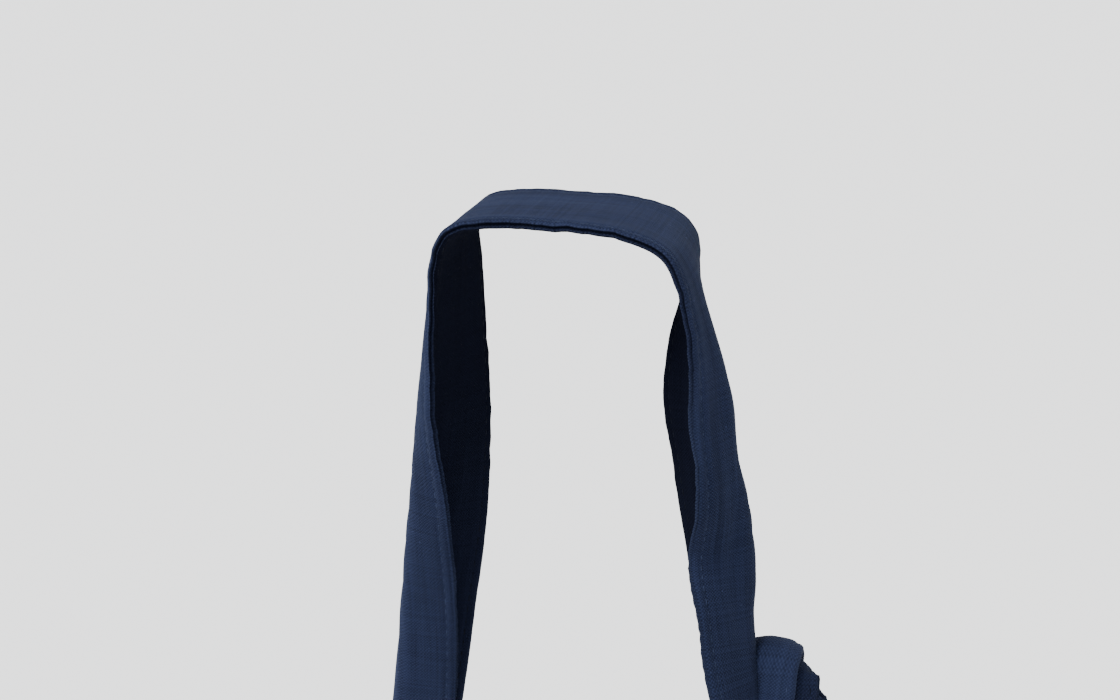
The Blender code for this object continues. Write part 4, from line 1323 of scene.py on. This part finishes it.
def make_teeth(name, side):
    """Cast teeth with rounded heads. They stay clear of the slider's middle post."""
    low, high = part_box(f"zipper_teeth_{name}")
    start = low.x + 0.5 * MM
    outline = [(-x, y) for x, y in TOOTH_HALF] + [*TOOTH_HALF[::-1]]
    tooth = tube_faces(len(TOOTH_LEVELS), len(outline))
    verts, faces = [], []
    for k in range(int((high.x - start) / TOOTH_PITCH)):
        middle = start + (k + 0.5 * (side > 0) + 0.3) * TOOTH_PITCH
        faces += [tuple(len(verts) + i for i in face) for face in tooth]
        for height, size in TOOTH_LEVELS:
            for x, y in outline:
                y = TOOTH_WAIST + (y - TOOTH_WAIST) * size
                verts.append((middle + x * size * MM, side * y * MM, TAPE_Z + height * MM))
    if side < 0:
        faces = [f[::-1] for f in faces]
    obj = add_mesh(f"zipper_teeth_{name}_row", verts, faces, BRASS, smooth=False)
    settle(obj, "bag", "brass", f"zipper_teeth_{name}")


for tape_name, tape_side, _ in SIDES:
    make_tape(tape_name, tape_side)
    make_teeth(tape_name, tape_side)


def cast_piece(node, body, bevel):
    """A cast piece of the zipper: the CAD's form with its edges rounded."""
    source = frame["nodes"][node]
    obj = bpy.data.objects.new(f"{node}_cast", source.data.copy())
    bpy.context.scene.collection.objects.link(obj)
    obj.matrix_world = source.matrix_world.copy()
    obj.data.materials.clear()
    obj.data.materials.append(BRASS)
    mesh = bmesh.new()
    mesh.from_mesh(obj.data)
    bmesh.ops.remove_doubles(mesh, verts=mesh.verts, dist=0.001 * MM)
    bmesh.ops.dissolve_limit(mesh, angle_limit=math.radians(1), verts=mesh.verts, edges=mesh.edges)
    mesh.to_mesh(obj.data)
    mesh.free()
    obj.data.shade_smooth()
    rounding = obj.modifiers.new("Rounded", "BEVEL")
    rounding.width = bevel
    rounding.segments = 3
    rounding.limit_method = "ANGLE"
    rounding.angle_limit = math.radians(35)
    rounding.harden_normals = True
    settle(obj, body, "brass", node)


cast_piece("zipper_slider", "slider", 0.35 * MM)
cast_piece("zipper_pull", "pull", 0.3 * MM)
for stop_node in ("zipper_start_stop", "zipper_end_stop_front", "zipper_end_stop_back"):
    cast_piece(stop_node, "bag", 0.25 * MM)


# ------------------------------------------------------------------ lining and label

def on_cad(name, base, light, dark):
    """The woven material for CAD nodes, which have no UV map."""
    material = woven(name, base, light, dark, pitch=0.5 * MM, sheen=0.1)
    tree = material.node_tree
    uv = next(n for n in tree.nodes if n.bl_idname == "ShaderNodeUVMap")
    place = tree.nodes.new("ShaderNodeTexCoord").outputs["Object"]
    split = tree.nodes.new("ShaderNodeSeparateXYZ")
    tree.links.new(place, split.inputs[0])
    join = tree.nodes.new("ShaderNodeCombineXYZ")
    tree.links.new(math_node(tree, "ADD", split.outputs[0], split.outputs[1]), join.inputs[0])
    tree.links.new(split.outputs[2], join.inputs[1])
    for link in list(tree.links):
        if link.from_node == uv:
            tree.links.new(join.outputs[0], link.to_socket)
    return material


LINING = on_cad("lining_cotton", (0.42, 0.39, 0.33), (0.55, 0.52, 0.45), (0.25, 0.23, 0.19))
for node in ("lining_front", "lining_back", "lining_gusset", "inner_pocket"):
    frame["nodes"][node].data.materials.clear()
    frame["nodes"][node].data.materials.append(LINING)


LABEL = woven("label_weave", (0.50, 0.45, 0.37), (0.62, 0.57, 0.48), (0.33, 0.29, 0.23),
              pitch=0.26 * MM, sheen=0.1)


def on_left_side(y, z):
    """X of the gusset's left side at each (y, z), evened out."""
    grid, _ = GUSSET_SURFACE
    left = grid[:, : grid.shape[1] // 2].reshape(-1, 3)
    x = np.empty_like(y)
    for place in np.ndindex(*y.shape):
        distance = (left[:, 1] - y[place]) ** 2 + (left[:, 2] - z[place]) ** 2
        x[place] = left[np.argsort(distance)[:24], 0].min()
    for _ in range(6):
        padded = np.pad(x, 1, mode="edge")
        x = (padded[:-2, 1:-1] + padded[2:, 1:-1] + padded[1:-1, :-2] + padded[1:-1, 2:]) / 4
    return x


def make_label():
    """A blank woven tag, folded over and sewn flat on the left side."""
    low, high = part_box("side_label")
    width, height = high.y - low.y, high.z - low.z
    s, t = np.meshgrid(np.linspace(0, 1, 40), np.linspace(0, 1, 30))
    y, z = low.y + width * s, high.z - height * t
    edge = np.minimum(np.minimum(s, 1 - s) * width, np.minimum(t, 1 - t) * height)
    lift = 0.45 * MM + rounded_edge(edge, 0.45 * MM, 0.6 * MM)
    lift += 0.15 * MM * noise_field(np.stack([0 * y, y, z], axis=-1), (1, 0.006, 0.006), 91)
    lift -= 0.2 * MM * groove(edge - 1.5 * MM, 0.6 * MM)
    grid = np.stack([on_left_side(y, z) - lift, y, z], axis=-1)
    obj = grid_mesh("side_label_tag", grid, 0.35 * MM, LABEL, (-1.0, 0.0, 0.0))
    settle(obj, "bag", "label_cloth", "side_label")
    lines = []
    for column in (4, -5):
        line = grid[1:-1, column] - np.array((0.1 * MM, 0, 0))
        lines.append((line, np.tile((-1.0, 0, 0), (len(line), 1))))
    stitches = stitched("label_stitches", lines, pitch=2.0 * MM, radius=0.16 * MM)
    settle(stitches, "bag", "navy_cloth")


make_label()


# ------------------------------------------------------------------ camera, light and floor

AZIMUTH, ELEVATION = math.radians(14.5), math.radians(19.5)
CAMERA_DISTANCE = 0.42
CAMERA_LENS = 76.95  # mm, on a sensor 36 mm wide
CAMERA_TARGET = Vector((0.0, -0.0082, -0.0225))
FLOOR_DROP = 0.06  # floor under the hanging bag
FLOOR_COLOUR = (0.83, 0.83, 0.825, 1)
HORIZON, SKY = (2.15, 2.15, 2.14), (0.70, 0.72, 0.76)  # the floor's own tone at the horizon


def make_floor():
    bpy.ops.mesh.primitive_plane_add(size=16, location=(0, 0, BASE_Z - FLOOR_DROP))
    floor = bpy.context.object
    floor.name = "floor"
    material, _, shader = new_material("floor")
    shader.inputs["Base Color"].default_value = FLOOR_COLOUR
    shader.inputs["Roughness"].default_value = 0.95
    floor.data.materials.append(material)


def make_sky():
    world = bpy.data.worlds.new("studio")
    bpy.context.scene.world = world
    world.use_nodes = True
    tree = world.node_tree
    split = tree.nodes.new("ShaderNodeSeparateXYZ")
    tree.links.new(tree.nodes.new("ShaderNodeTexCoord").outputs["Generated"], split.inputs[0])
    colour = mix_rgb(tree, ramp(tree, split.outputs[2], 0.0, 0.55), HORIZON, SKY)
    tree.links.new(colour, tree.nodes["Background"].inputs["Color"])
    tree.nodes["Background"].inputs["Strength"].default_value = 1.0


def add_sun(name, towards, strength, spread):
    """Soft daylight from the direction towards, with the spread of its source in degrees."""
    light = bpy.data.lights.new(name, "SUN")
    light.energy = strength
    light.angle = math.radians(spread)
    obj = bpy.data.objects.new(name, light)
    obj.rotation_euler = Vector(towards).to_track_quat("Z", "Y").to_euler()
    bpy.context.scene.collection.objects.link(obj)


def make_camera():
    level = math.cos(ELEVATION)
    back = Vector((math.sin(AZIMUTH) * level, -math.cos(AZIMUTH) * level, math.sin(ELEVATION)))
    camera = bpy.data.cameras.new("camera")
    camera.lens = CAMERA_LENS
    camera.sensor_width = 36
    camera.clip_start = 0.01
    obj = bpy.data.objects.new("camera", camera)
    obj.location = CAMERA_TARGET + back * CAMERA_DISTANCE
    obj.rotation_euler = back.to_track_quat("Z", "Y").to_euler()
    bpy.context.scene.collection.objects.link(obj)
    bpy.context.scene.camera = obj


make_floor()
make_sky()
add_sun("key", (-0.58, -0.52, 1.12), 7.0, 30)
make_camera()
